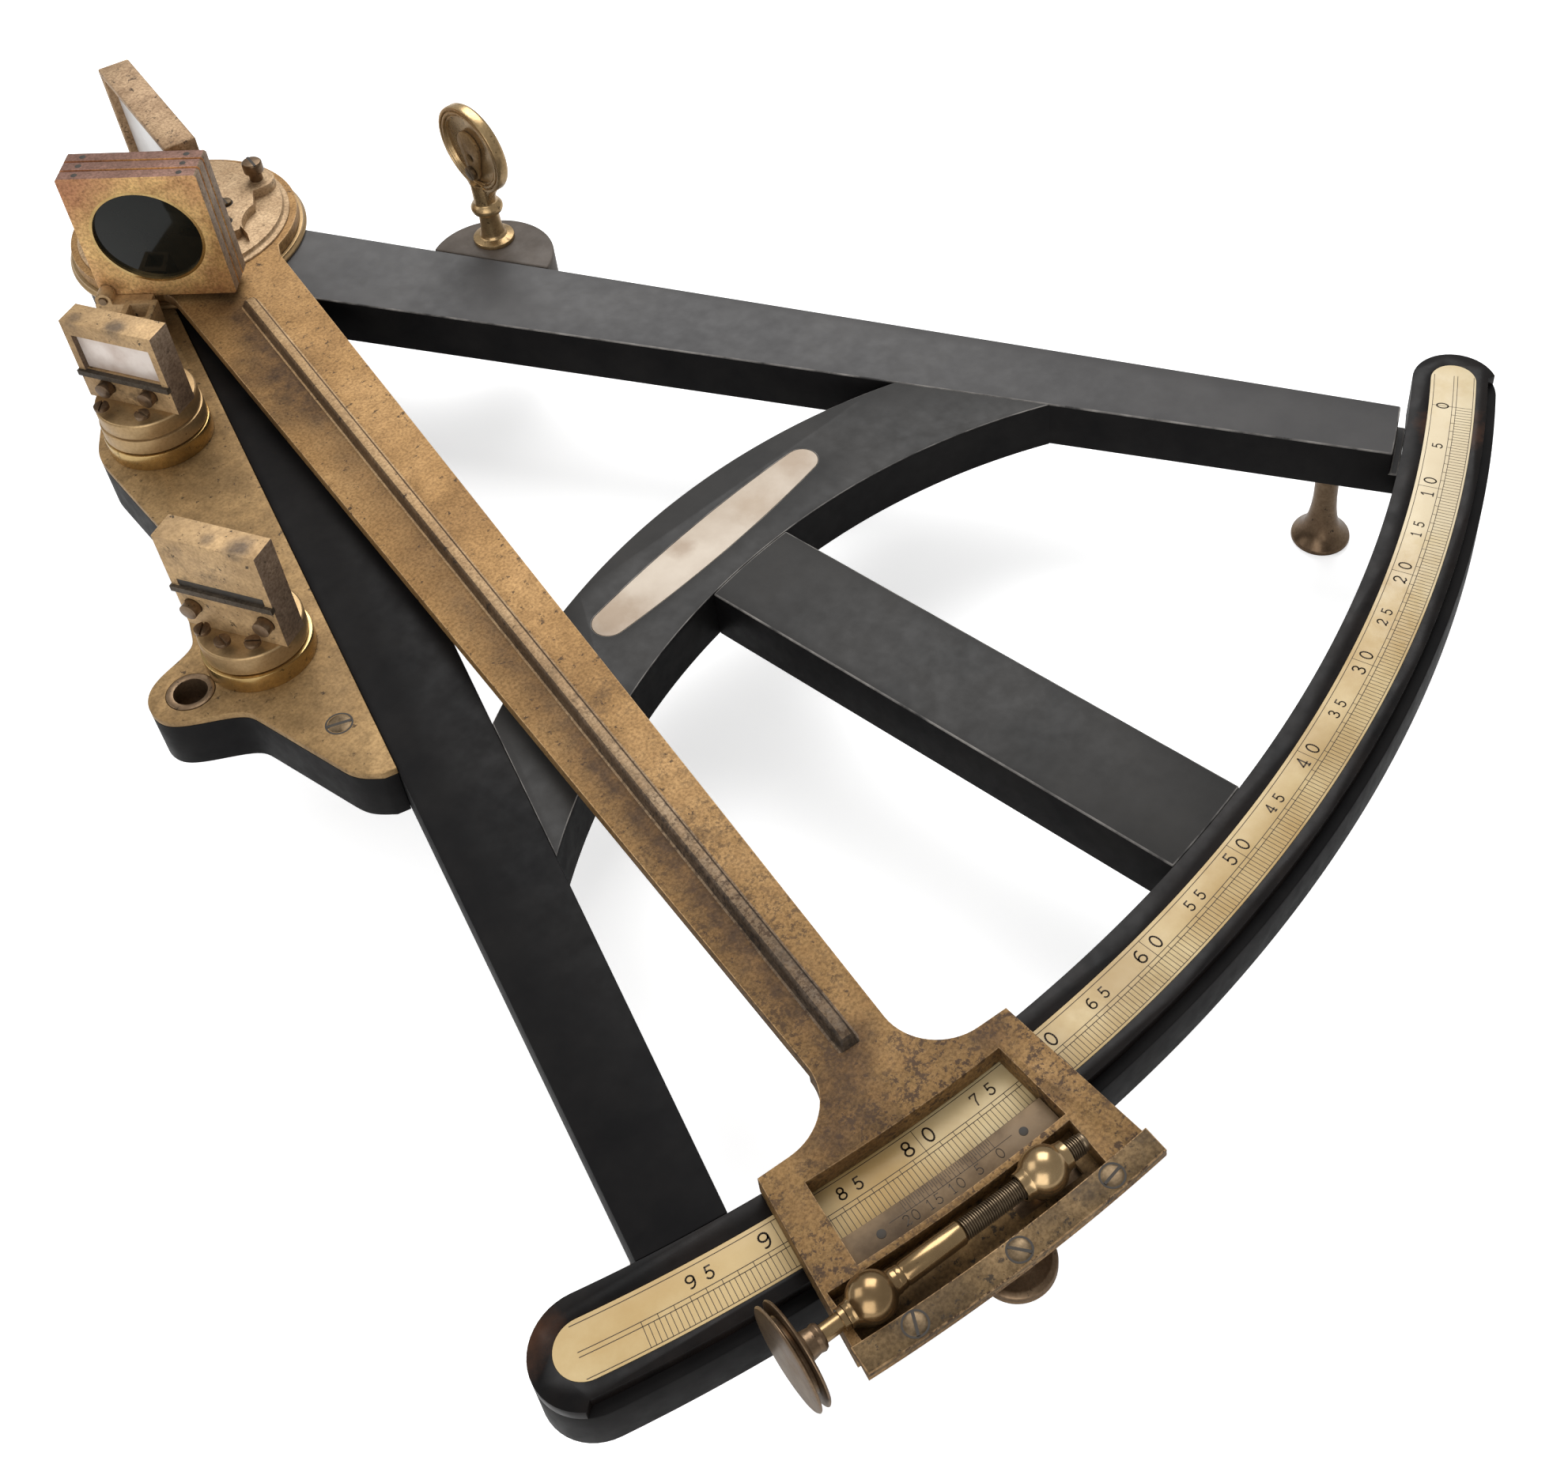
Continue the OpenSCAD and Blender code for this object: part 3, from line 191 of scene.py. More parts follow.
def brass(name, light, mid, dark, spots, rough=(0.5, 0.62), metal=0.45, spot_cover=0.62, patch=0.0, far=None,
          far_y=(0, 1), tone_patches=(), mottle=0.6, shade_and_dirt_by_rib=False, dents=0.2, grain=0.75):
    """Old brass: mottling, specks, darker patches, stains and painted shade, a painted shadow with dirt beside the
    rib when asked, and other tones beyond a line across the object.
    """
    m, t, b = new_material(name)
    tone = noise(t, 26, 8, 0.62)
    base = ramp(t, tone, [(0.3, dark), (0.48, mid), (0.66, light)])
    if far:
        other = ramp(t, tone, [(0.3, far[2]), (0.48, far[1]), (0.66, far[0])])
        base = blend_colour(t, along_y(t, *far_y), base, other)
    # Painted shadow of the rib, with dirt, in the spot colour.
    if shade_and_dirt_by_rib:
        base = blend_colour(t, beside_rib(t), base, spots)
    for place, r, share, *extra in tone_patches:
        base = blot(t, base, place, r, share, *(extra or [spots]))
    cloud = ramp(t, noise(t, 240, 6, 0.7), [(0.34, mottle), (0.5, mottle * 0.45), (0.66, 0.0)])
    base = blend_colour(t, cloud, base, dark)
    fine = ramp(t, noise(t, 1500, 3, 0.6), [(0.36, (0.5, 0.47, 0.43)), (0.6, (1.0, 1.0, 1.0))])
    base = blend_colour(t, grain, base, fine, "MULTIPLY")
    speck = ramp(t, noise(t, 520, 5, 0.72), [(spot_cover, 0.0), (spot_cover + 0.05, 0.9)])
    col = blend_colour(t, speck, base, spots)
    if far:
        pits = ramp(t, noise(t, 760, 5, 0.75), [(0.51, 0.0), (0.57, 0.95)])
        clump = ramp(t, noise(t, 60, 4, 0.6), [(0.4, 0.15), (0.52, 1.0)])
        col = blend_colour(t, calc(t, "MULTIPLY", calc(t, "MULTIPLY", pits, clump), along_y(t, *far_y)), col, spots)
    if patch > 0:
        big = ramp(t, noise(t, 40, 8, 0.7), [(0.63 - 0.1 * patch, 0.0), (0.72 - 0.08 * patch, 0.8)])
        col = blend_colour(t, big, col, spots)
    finish(t, b, col, (noise(t, 130, 5), rough), metal, 0.2)
    bump(t, b, noise(t, 900, 5, 0.65), dents, 0.0003)
    return m


def plain(name, c1, c2, scale, rough, metal=0.0, bumps=0.1, fine=500, coat=0.0, gloss=0.5, far=None, far_y=(0, 1),
          tone_patches=()):
    """Two tones of one colour in soft clouds, with stains, and other tones beyond a line across the object."""
    m, t, b = new_material(name)
    fac = noise(t, scale, 6, 0.6)
    col = ramp(t, fac, [(0.35, c1), (0.65, c2)])
    if far:
        col = blend_colour(t, along_y(t, *far_y), col, ramp(t, fac, [(0.35, far[0]), (0.65, far[1])]))
    for place, r, share, colour in tone_patches:
        col = blot(t, col, place, r, share, colour)
    finish(t, b, col, (noise(t, fine, 3, 0.55), rough), metal, gloss)
    b.inputs["Coat Weight"].default_value = coat
    bump(t, b, noise(t, fine, 4, 0.6), bumps, 0.0002)
    return m


ARM_TONES = ((0.50, 0.305, 0.13), (0.41, 0.24, 0.095), (0.245, 0.135, 0.052))
END_TONES = ((0.36, 0.225, 0.10), (0.25, 0.15, 0.06), (0.10, 0.06, 0.026))
STRIP_TONES = ((0.27, 0.178, 0.088), (0.175, 0.114, 0.054), (0.075, 0.049, 0.025))
# Brown for specks and stains, and on the arm for the painted shade beside the rib.
BROWN_SPECK_AND_SHADE = (0.06, 0.036, 0.022)
# Darker patches on the arm: the first two, left of the rib near the head, are painted shade with dirt; the rest are
# stains on the end plate.
ARM_STAINS_AND_SHADE = [((-25.8, -66, 5.3), 13, 0.75), ((-31.5, -80, 5.3), 11, 0.55), ((-89.4, -300.3, 5.3), 9, 0.85),
             ((-97.1, -305.5, 5.3), 8, 0.9), ((-64.1, -315.4, 5.3), 6, 0.8), ((-67.6, -330.2, 5.3), 5, 0.6),
             ((-81.1, -296.4, 5.3), 7, 0.85)]
STRIP_BLOTS = [((-116, -329, 6.5), 5, 0.75), ((-86, -342, 6.5), 5, 0.5), ((-62, -347, 6.5), 6, 0.6),
               ((-104, -336, 6.5), 4, 0.4)]
STAIN = (0.085, 0.07, 0.062)
FRAME_BLOTS = [((-53.8, -61.3, 36.6), 3.2, 0.85, STAIN), ((-57.4, -51, 36), 2.5, 0.6, STAIN),
               ((-81.6, -140, 37), 3.6, 0.9, STAIN), ((-86.5, -126, 34), 3.2, 0.7, STAIN),
               ((-84, -133, 37), 2, 0.6, STAIN)]
GOLD = (0.86, 0.60, 0.24)
RUST = (0.40, 0.17, 0.095)


def on_shade(y, z):
    return SHADE @ Vector((27.6, y, MIRROR_Z + 0.4 + z))


BR = {
    "arm": brass("arm_brass", *ARM_TONES, BROWN_SPECK_AND_SHADE, patch=0.25, spot_cover=0.61, far=END_TONES, far_y=(0.0, -0.15),
                 tone_patches=ARM_STAINS_AND_SHADE, shade_and_dirt_by_rib=True),
    # Lighter brass for the rib's top faces: a painted highlight, with wear, darker towards the end.
    "crest": brass("rib_crest_brass", (0.60, 0.42, 0.23), (0.50, 0.33, 0.17), (0.30, 0.19, 0.10), BROWN_SPECK_AND_SHADE,
                   far=((0.20, 0.155, 0.115), (0.13, 0.10, 0.075), (0.07, 0.055, 0.04)), far_y=(0.03, -0.12)),
    "end": brass("end_plate_brass", *END_TONES, (0.03, 0.022, 0.016), spot_cover=0.56, patch=0.5, tone_patches=STRIP_BLOTS,
                 mottle=0.8),
    "strip": brass("end_strip_brass", *STRIP_TONES, (0.04, 0.03, 0.022), spot_cover=0.58, patch=0.3,
                   tone_patches=STRIP_BLOTS, mottle=0.6),
    # Lighter brass for bevel faces: a painted edge highlight, with wear.
    "rubbed_highlight": brass("edge_brass_rubbed_and_highlit", (0.62, 0.42, 0.22), (0.52, 0.34, 0.17), (0.36, 0.22, 0.10), BROWN_SPECK_AND_SHADE,
                  metal=0.55, far=((0.42, 0.28, 0.15), (0.32, 0.21, 0.11), (0.18, 0.11, 0.06)), far_y=(-0.1, -0.15)),
    "plate": brass("plate_brass", (0.48, 0.315, 0.145), (0.34, 0.215, 0.095), (0.145, 0.09, 0.04),
                   (0.05, 0.032, 0.02), spot_cover=0.61, patch=0.45, mottle=0.65, grain=0.5),
    "foot": brass("mirror_foot_brass", (0.66, 0.49, 0.31), (0.56, 0.40, 0.24), (0.36, 0.23, 0.125),
                  (0.11, 0.068, 0.04), patch=0.1),
    "frame": brass("glass_frame_brass", (0.62, 0.425, 0.225), (0.50, 0.335, 0.17), (0.26, 0.168, 0.088),
                   (0.045, 0.034, 0.026), spot_cover=0.61, patch=0.55, mottle=0.5, grain=0.45, tone_patches=FRAME_BLOTS),
    "mirror": brass("mirror_frame_brass", (0.60, 0.42, 0.26), (0.48, 0.335, 0.20), (0.24, 0.145, 0.08),
                    (0.06, 0.04, 0.028), spot_cover=0.59, patch=0.35, mottle=0.75),
    "shade": brass("shade_brass", (0.90, 0.58, 0.27), (0.76, 0.45, 0.19), (0.42, 0.20, 0.095), (0.16, 0.08, 0.05),
                   rough=(0.36, 0.5), metal=0.55, spot_cover=0.66,
                   tone_patches=[(on_shade(0, 17.8), 21, 0.85, GOLD, 0.33), (on_shade(-15, 34), 15, 0.85, RUST, 0.6),
                          (on_shade(15.5, 33), 8, 0.5, RUST, 0.8), (on_shade(-15, 8), 7, 0.5, RUST, 0.8)]),
    # A darker, greyer copy of frame brass for side faces only: painted shade.
    "side": brass("side_brass_painted_shade", (0.40, 0.30, 0.21), (0.28, 0.20, 0.14), (0.14, 0.095, 0.065),
                  (0.05, 0.035, 0.025), metal=0.5, spot_cover=0.62),
    "edge": brass("shade_edge_brass", (0.36, 0.21, 0.16), (0.27, 0.15, 0.115), (0.14, 0.08, 0.06),
                  (0.05, 0.03, 0.025), metal=0.4, spot_cover=0.66),
    "ball": brass("polished_ball_brass", (0.44, 0.31, 0.165), (0.34, 0.23, 0.115), (0.20, 0.125, 0.06),
                  (0.08, 0.05, 0.03), rough=(0.16, 0.3), metal=0.92, spot_cover=0.68, mottle=0.1, dents=0.02,
                  grain=0.1),
    "turned": brass("turned_brass", (0.50, 0.35, 0.18), (0.41, 0.275, 0.135), (0.28, 0.18, 0.085),
                    (0.08, 0.055, 0.03), rough=(0.3, 0.44), metal=0.7, spot_cover=0.66, mottle=0.3, dents=0.05,
                    grain=0.3),
    "bright": brass("bright_ring_brass", (0.66, 0.47, 0.21), (0.52, 0.35, 0.14), (0.30, 0.19, 0.07),
                    (0.10, 0.07, 0.03), rough=(0.18, 0.32), metal=0.92, spot_cover=0.62, mottle=0.3, dents=0.04,
                    grain=0.25),
    "sight": brass("sight_brass", (0.66, 0.48, 0.26), (0.54, 0.375, 0.19), (0.30, 0.20, 0.10), (0.08, 0.055, 0.03),
                   rough=(0.22, 0.36), metal=0.85, spot_cover=0.62, mottle=0.4, dents=0.1, grain=0.4),
    "dark": brass("dark_brass", (0.27, 0.19, 0.115), (0.19, 0.125, 0.075), (0.10, 0.065, 0.04), (0.035, 0.026, 0.02),
                  rough=(0.26, 0.42), metal=0.8, mottle=0.4, dents=0.06, grain=0.4),
    "thread": brass("thread_brass", (0.30, 0.23, 0.15), (0.21, 0.155, 0.10), (0.11, 0.08, 0.05), (0.03, 0.02, 0.015),
                    rough=(0.3, 0.45), metal=0.8, dents=0.05, grain=0.3),
    # The rib's sides: patina, and painted shade against the lighter crest.
    "rib": brass("rib_brass", (0.24, 0.155, 0.085), (0.15, 0.095, 0.052), (0.07, 0.045, 0.027), (0.03, 0.024, 0.02),
                 spot_cover=0.6, patch=0.5, far=((0.14, 0.105, 0.08), (0.09, 0.068, 0.05), (0.045, 0.035, 0.028)),
                 far_y=(0.03, -0.12)),
    "tarnish": brass("tarnished_brass", (0.13, 0.105, 0.08), (0.09, 0.07, 0.05), (0.05, 0.04, 0.03),
                     (0.02, 0.017, 0.014), rough=(0.45, 0.6), metal=0.4),
}
BROWN_WOOD = (0.075, 0.032, 0.016)
EBONY = plain("ebony_wood", (0.0035, 0.0032, 0.0035), (0.008, 0.0072, 0.007), 60, (0.45, 0.58), 0.0, 0.16, 260, 0.0,
              0.1)
# Grey for the right limb's top faces only: a painted sheen, lighter near the head where the lamps give little sheen.
SHEEN_EBONY = plain("painted_sheen_ebony", (0.072, 0.070, 0.070), (0.092, 0.089, 0.088), 45, (0.42, 0.55), 0.0, 0.16, 260, 0.0,
                   0.22, far=((0.055, 0.053, 0.053), (0.07, 0.067, 0.066)), far_y=(0.13, 0.05))
# Light grey for the bevel faces of the limbs and brace: a painted edge highlight, with wear.
EDGE_HIGHLIGHT_EBONY = plain("ebony_edges_rubbed_and_highlit", (0.035, 0.033, 0.032), (0.22, 0.205, 0.19), 140, (0.42, 0.55), 0.0, 0.16, 260,
                   0.0, 0.2)
# Dark grey for the top faces of the centre strut and the brace: a painted sheen.
STRUT_SHEEN_EBONY = plain("strut_sheen_ebony", (0.021, 0.020, 0.019), (0.031, 0.029, 0.027), 45, (0.42, 0.55), 0.0, 0.16, 260,
                    0.0, 0.2)
# Brown grey over all of the sight boss: a painted sheen.
BOSS_SHEEN_EBONY = plain("boss_sheen_ebony", (0.075, 0.060, 0.048), (0.11, 0.092, 0.078), 160, (0.45, 0.6), 0.0, 0.2, 300, 0.0,
                   0.2)
# Arc face: greyer towards the arc's ends, a painted sheen; the brown blots are worn wood.
EBONY_WARM = plain("ebony_edge", (0.009, 0.0065, 0.0055), (0.0035, 0.003, 0.003), 90, (0.3, 0.45), 0.0, 0.16, 260,
                   0.0, 0.12, far=((0.022, 0.019, 0.018), (0.036, 0.034, 0.034)), far_y=(-0.12, 0.0),
                   tone_patches=[((132, -303, 0), 9, 0.8, BROWN_WOOD), ((-152, -285, 0), 8, 0.6, BROWN_WOOD)])
IVORY = plain("aged_ivory", (0.43, 0.285, 0.115), (0.64, 0.51, 0.285), 30, (0.4, 0.52), 0.0, 0.05, 300, 0.0, 0.35,
              tone_patches=[((120, -307, 0), 60, 0.7, (0.72, 0.62, 0.44)), ((-120, -307, 0), 45, 0.5, (0.46, 0.30, 0.115)),
                     ((-38, -328, 0), 14, 0.6, (0.34, 0.22, 0.09)), ((30, -329, 0), 11, 0.5, (0.38, 0.25, 0.10))])
NAME_IVORY = plain("name_plate_ivory", (0.46, 0.375, 0.29), (0.60, 0.515, 0.42), 45, (0.4, 0.52), 0.0, 0.05, 300, 0.0,
                   0.3, tone_patches=[((-30, -186, 0), 9, 0.6, (0.33, 0.23, 0.15)),
                               ((14, -188, 0), 7, 0.5, (0.36, 0.26, 0.17)),
                               ((31, -184, 0), 7, 0.5, (0.34, 0.24, 0.16)),
                               ((-6, -183, 0), 4, 0.5, (0.30, 0.20, 0.13))])
OLD_IVORY = plain("vernier_ivory", (0.10, 0.064, 0.036), (0.24, 0.165, 0.095), 110, (0.45, 0.55), 0.0, 0.06, 500, 0.0,
                  0.1, tone_patches=[((-76, -334, 2.5), 8, 0.6, (0.22, 0.16, 0.105)),
                              ((-104, -325, 2.5), 7, 0.45, (0.07, 0.05, 0.034))])
INK = plain("engraving_ink", (0.03, 0.018, 0.010), (0.06, 0.038, 0.02), 300, (0.6, 0.7))
STEEL = plain("screw_steel", (0.07, 0.049, 0.029), (0.20, 0.142, 0.084), 420, (0.42, 0.55), 0.85, 0.2, 900, 0.0, 0.12)
# Near black: painted shade in screw slots, seat rings, peep holes and the back slit; also dark pin heads.
SLOT = plain("screw_slot", (0.02, 0.016, 0.012), (0.04, 0.03, 0.02), 500, (0.6, 0.7))
MIRROR = plain("old_mirror", (0.62, 0.61, 0.60), (0.76, 0.75, 0.74), 40, (0.3, 0.42), 0.3, 0.01, 200)
PINK_MIRROR = plain("old_horizon_mirror", (0.52, 0.42, 0.36), (0.70, 0.62, 0.56), 140, (0.3, 0.42), 0.2, 0.02, 200)
SMOKED = plain("smoked_glass", (0.006, 0.007, 0.006), (0.010, 0.011, 0.009), 60, (0.05, 0.09), 0.0, 0.01, 200, 0.0,
               0.25)


# Mesh helpers
SHARP = rad(28)


def add(name, mesh, mat, body, nodes=(), angle=32):
    """Places a finished mesh on its body, in place of CAD nodes if it stands for them."""
    mesh.materials.append(mat)
    o = bpy.data.objects.new(name, mesh)
    bpy.context.collection.objects.link(o)
    bm = bmesh.new()
    bm.from_mesh(mesh)
    for f in bm.faces:
        f.smooth = True
    for e in bm.edges:
        e.smooth = len(e.link_faces) == 2 and e.calc_face_angle(0) < rad(angle)
    bm.to_mesh(mesh)
    bm.free()
    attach(o, body)
    if nodes:
        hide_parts(*nodes)
    return o


def recolour(o, mat, test):
    """Gives another material to the faces whose normals pass the test."""
    o.data.materials.append(mat)
    for f in o.data.polygons:
        if test(f.normal):
            f.material_index = len(o.data.materials) - 1


def is_top(n):
    return n.z > 0.9


def is_bevel(n):
    return 0.15 < n.z < 0.97


def bevel_edges(bm, width, segs=2, above=-1e9):
    es = [e for e in bm.edges if len(e.link_faces) == 2 and e.calc_face_angle(0) > SHARP
          and all(v.co.z > above for v in e.verts)]
    if es and width > 0:
        bmesh.ops.bevel(bm, geom=es, offset=width, offset_type="OFFSET", segments=segs, profile=0.5,
                        affect="EDGES", clamp_overlap=True, loop_slide=True)


def finish_bm(bm, local=I4):
    bmesh.ops.recalc_face_normals(bm, faces=bm.faces)
    bm.transform(ROW @ local)
    me = bpy.data.meshes.new("m")
    bm.to_mesh(me)
    bm.free()
    return me


def flat_bm(outlines, z0, z1):
    """A plate from closed outlines in millimetres; inner outlines are holes."""
    cu = bpy.data.curves.new("c", "CURVE")
    cu.dimensions = "2D"
    cu.fill_mode = "NONE"
    for pts in outlines:
        sp = cu.splines.new("POLY")
        sp.points.add(len(pts) - 1)
        for q, p in zip(sp.points, pts):
            q.co = (p[0], p[1], 0, 1)
        sp.use_cyclic_u = True
    cu.fill_mode = "BOTH"
    o = bpy.data.objects.new("c", cu)
    bpy.context.collection.objects.link(o)
    me = bpy.data.meshes.new_from_object(o)
    bpy.data.objects.remove(o)
    bpy.data.curves.remove(cu)
    bm = bmesh.new()
    bm.from_mesh(me)
    bpy.data.meshes.remove(me)
    bmesh.ops.remove_doubles(bm, verts=bm.verts, dist=1e-5)
    for v in bm.verts:
        v.co.z = z0
    res = bmesh.ops.extrude_face_region(bm, geom=list(bm.faces))
    for g in res["geom"]:
        if isinstance(g, bmesh.types.BMVert):
            g.co.z = z1
    bmesh.ops.dissolve_limit(bm, angle_limit=rad(0.5), verts=bm.verts, edges=bm.edges)
    return bm


def plate(outlines, z0, z1, local=I4, width=0.2, segs=2, top_only=False):
    bm = flat_bm(outlines, z0, z1)
    bmesh.ops.recalc_face_normals(bm, faces=bm.faces)
    bevel_edges(bm, width, segs, above=z1 - 1e-4 if top_only else -1e9)
    return finish_bm(bm, local)


def lathe_bm(profile, steps=64, bm=None, local=I4):
    """A closed turned shape: profile points (r, z) from axis to axis."""
    bm = bm or bmesh.new()
    rings = []
    for r, z in profile:
        if r < 1e-6:
            rings.append([bm.verts.new(local @ Vector((0, 0, z)))])
        else:
            around = [2 * pi * k / steps for k in range(steps)]
            rings.append([bm.verts.new(local @ Vector((r * cos(a), r * sin(a), z))) for a in around])
    for a, b in zip(rings, rings[1:]):
        for k in range(steps):
            j = (k + 1) % steps
            q = [a[k % len(a)], a[j % len(a)], b[j % len(b)], b[k % len(b)]]
            q = [v for i, v in enumerate(q) if v not in q[:i]]
            if len(q) > 2:
                bm.faces.new(q)
    return bm


def tube(inner, outer, z0, z1):
    return [(inner, z0), (outer, z0), (outer, z1), (inner, z1), (inner, z0)]


def rounded(profile, r=0.25):
    """Cuts the corners of a turned profile so that its edges catch light."""
    out = [profile[0]]
    for a, b, c in zip(profile, profile[1:], profile[2:]):
        va, vc = Vector(a) - Vector(b), Vector(c) - Vector(b)
        if va.length < 1e-6 or vc.length < 1e-6 or va.angle(vc) > rad(160):
            out.append(b)
            continue
        ra, rc = min(r, va.length * 0.4), min(r, vc.length * 0.4)
        pa, pc = Vector(b) + va.normalized() * ra, Vector(b) + vc.normalized() * rc
        out += [tuple(pa), tuple((pa + pc) * 0.25 + Vector(b) * 0.5), tuple(pc)]
    return out + [profile[-1]]


def block_bm(bm, corners, z0, z1, local=I4):
    """A block over four corners."""
    v = [bm.verts.new(local @ Vector((x, y, z))) for z in (z0, z1) for x, y in corners]
    for f in ((3, 2, 1, 0), (4, 5, 6, 7), (0, 1, 5, 4), (1, 2, 6, 5), (2, 3, 7, 6), (3, 0, 4, 7)):
        bm.faces.new([v[k] for k in f])


def box_bm(bm, x0, x1, y0, y1, z0, z1, local=I4):
    block_bm(bm, ((x0, y0), (x1, y0), (x1, y1), (x0, y1)), z0, z1, local)


def soften(node, mat, width=0.2, segs=2):
    """The CAD piece with its sharp edges rounded."""
    src = frame["nodes"][node].data
    bm = bmesh.new()
    bm.from_mesh(src)
    bmesh.ops.remove_doubles(bm, verts=bm.verts, dist=1e-6)
    bmesh.ops.dissolve_limit(bm, angle_limit=rad(0.4), verts=bm.verts, edges=bm.edges)
    bevel_edges(bm, width / 1000, segs)
    me = bpy.data.meshes.new(node)
    bm.to_mesh(me)
    bm.free()
    return add(node + "_shown", me, mat, body_of[node], [node])


body_of = {n: b for b, l in frame["record"]["behaviour"]["bodies"].items() for n in l}


def oval(cx, cy, rx, ry, a0, a1, n):
    angles = [rad(a0 + (a1 - a0) * k / n) for k in range(n + 1)]
    return [(cx + rx * cos(a), cy + ry * sin(a)) for a in angles]


def arc(cx, cy, r, a0, a1, n):
    return oval(cx, cy, r, r, a0, a1, n)


def circle(cx, cy, r, n=96):
    return arc(cx, cy, r, 0, 360, n)[:-1]


def round_arc(r1, r2, a, n=160):
    """A ring part about the pivot with round ends, centred on the centreline."""
    rm, rc = (r1 + r2) / 2, (r2 - r1) / 2
    out = arc(0, 0, r2, -90 - a, -90 + a, n)
    ex, ey = rm * cos(rad(-90 + a)), rm * sin(rad(-90 + a))
    out += arc(ex, ey, rc, -90 + a, 90 + a, 24)[1:-1]
    out += arc(0, 0, r1, -90 + a, -90 - a, n)
    out += arc(-ex, ey, rc, 90 - a, 270 - a, 24)[1:-1]
    return out


def disc_screw(r, h, slot_a, local, bm_head, bm_shade, seat):
    """A flat slotted screw: its slot is a dark box standing for the slot's shade, and the dark ring round its head is
    painted shade of its seat.
    """
    lathe_bm(tube(r - 0.1, r + 0.3, seat - 0.02, seat + 0.03), 40, bm_shade, local)
    lathe_bm(rounded([(0, 0), (r, 0), (r, h - 0.15), (r * 0.72, h), (0, h)], 0.12), 40, bm_head, local)
    box_bm(bm_shade, -r * 0.97, r * 0.97, -r * 0.13, r * 0.13, h - 0.3, h + 0.015, local @ turn(slot_a))


def screws(name, places, nodes, body, r, h, seat):
    head, cut = bmesh.new(), bmesh.new()
    for local, a in places:
        disc_screw(r, h, a, local, head, cut, seat)
    add(name, finish_bm(head), STEEL, body, nodes)
    # Painted shade: the dark slot boxes and seat rings.
    add(name + "_slot_shade", finish_bm(cut), SLOT, body, ())


# Arc limb with its inlaid scale
ARC_IN, ARC_OUT = 320.0, 340.5
ARC_HALF_A, ARC_MID = 28.1, 330.25
CAP_A = ARC_HALF_A - span((ARC_OUT - ARC_IN) / 2, ARC_MID)
REBATE_A = CAP_A + 0.6
INLAY_IN, INLAY_MID, INLAY_OUT = 324.4, 329.9, 335.4
INLAY_A = ARC_HALF_A - 0.72 - span(5.5, INLAY_MID)
INLAY_BED, INLAY_Z, REBATE = -2.6, -1.3, 2.4
lower = plate([round_arc(ARC_IN, ARC_OUT, CAP_A)], -FRAME_T, INLAY_BED, width=0.35)
add("arc_limb_body", lower, EBONY, "frame", ["arc_limb"])
top = round_arc(ARC_IN, ARC_OUT, CAP_A, 200)
notched = []
for x, y in top:
    r, a = hypot(x, y), bearing(x, y) + 90
    if r > ARC_OUT - REBATE and abs(a) < REBATE_A:
        k = (ARC_OUT - REBATE) / r
        x, y = x * k, y * k
    notched.append((x, y))
inlay_hole = round_arc(INLAY_IN, INLAY_OUT, INLAY_A, 160)
upper = plate([notched, inlay_hole], INLAY_BED, 0, width=0.22)
add("arc_limb_face", upper, EBONY_WARM, "frame", ())
floor_ring = plate([round_arc(INLAY_IN - 0.3, INLAY_OUT + 0.3, INLAY_A)], INLAY_BED, INLAY_Z, width=0)
add("arc_inlay_bed", floor_ring, EBONY, "frame", ())
scale = plate([round_arc(INLAY_IN + 0.05, INLAY_OUT - 0.05, INLAY_A, 160)], INLAY_Z + 0.1, 0, width=0.08)
add("scale_ivory", scale, IVORY, "frame", ["scale_plate"])

# Name plate, blank, and the curved brace that carries it
BRACE_Y, BRACE_W, BRACE_R = 171.5, 26.5, 153.0
LEAN, LIMB_OFF = 23.2, 2.6
LIMB_W, LIMB_FOOT_W, LIMB_L = 27, 17, 320


def limb_edge(side, x_local, y_local):
    a = rad(side * LEAN)
    return (-side * LIMB_OFF + x_local * cos(a) - y_local * sin(a), x_local * sin(a) + y_local * cos(a))


def limb_half(y_local):
    return (LIMB_W + (LIMB_FOOT_W - LIMB_W) * -y_local / LIMB_L) / 2


def hit_limb(cy, r, side):
    """Where a circle about (0, cy) meets the inner edge of a limb."""
    best = None
    for k in range(4000):
        yl = -120 - k * 0.05
        x, y = limb_edge(side, -side * limb_half(yl), yl)
        d = abs(hypot(x, y - cy) - r)
        if best is None or d < best[0]:
            best = (d, x, y)
    return best[1], best[2]


outer_c, inner_c, inner_r = -(BRACE_Y + BRACE_R), -(BRACE_Y + BRACE_W) - BRACE_R - 1, BRACE_R + 1
xo, yo = hit_limb(outer_c, BRACE_R, 1)
xi, yi = hit_limb(inner_c, inner_r, 1)
ao = bearing(xo, yo - outer_c)
ai = bearing(xi, yi - inner_c)
brace = arc(0, outer_c, BRACE_R, ao, 180 - ao, 60) + arc(0, inner_c, inner_r, 180 - ai, ai, 60)
NAME_C, NAME_W, NAME_ER = -(BRACE_Y + BRACE_W / 2 + 1.4), 11.0, 4.0
NAME_EX = 71 / 2 - NAME_ER
rise = NAME_W / 2 - NAME_ER
bow = (NAME_EX ** 2 + rise ** 2) / (2 * rise)


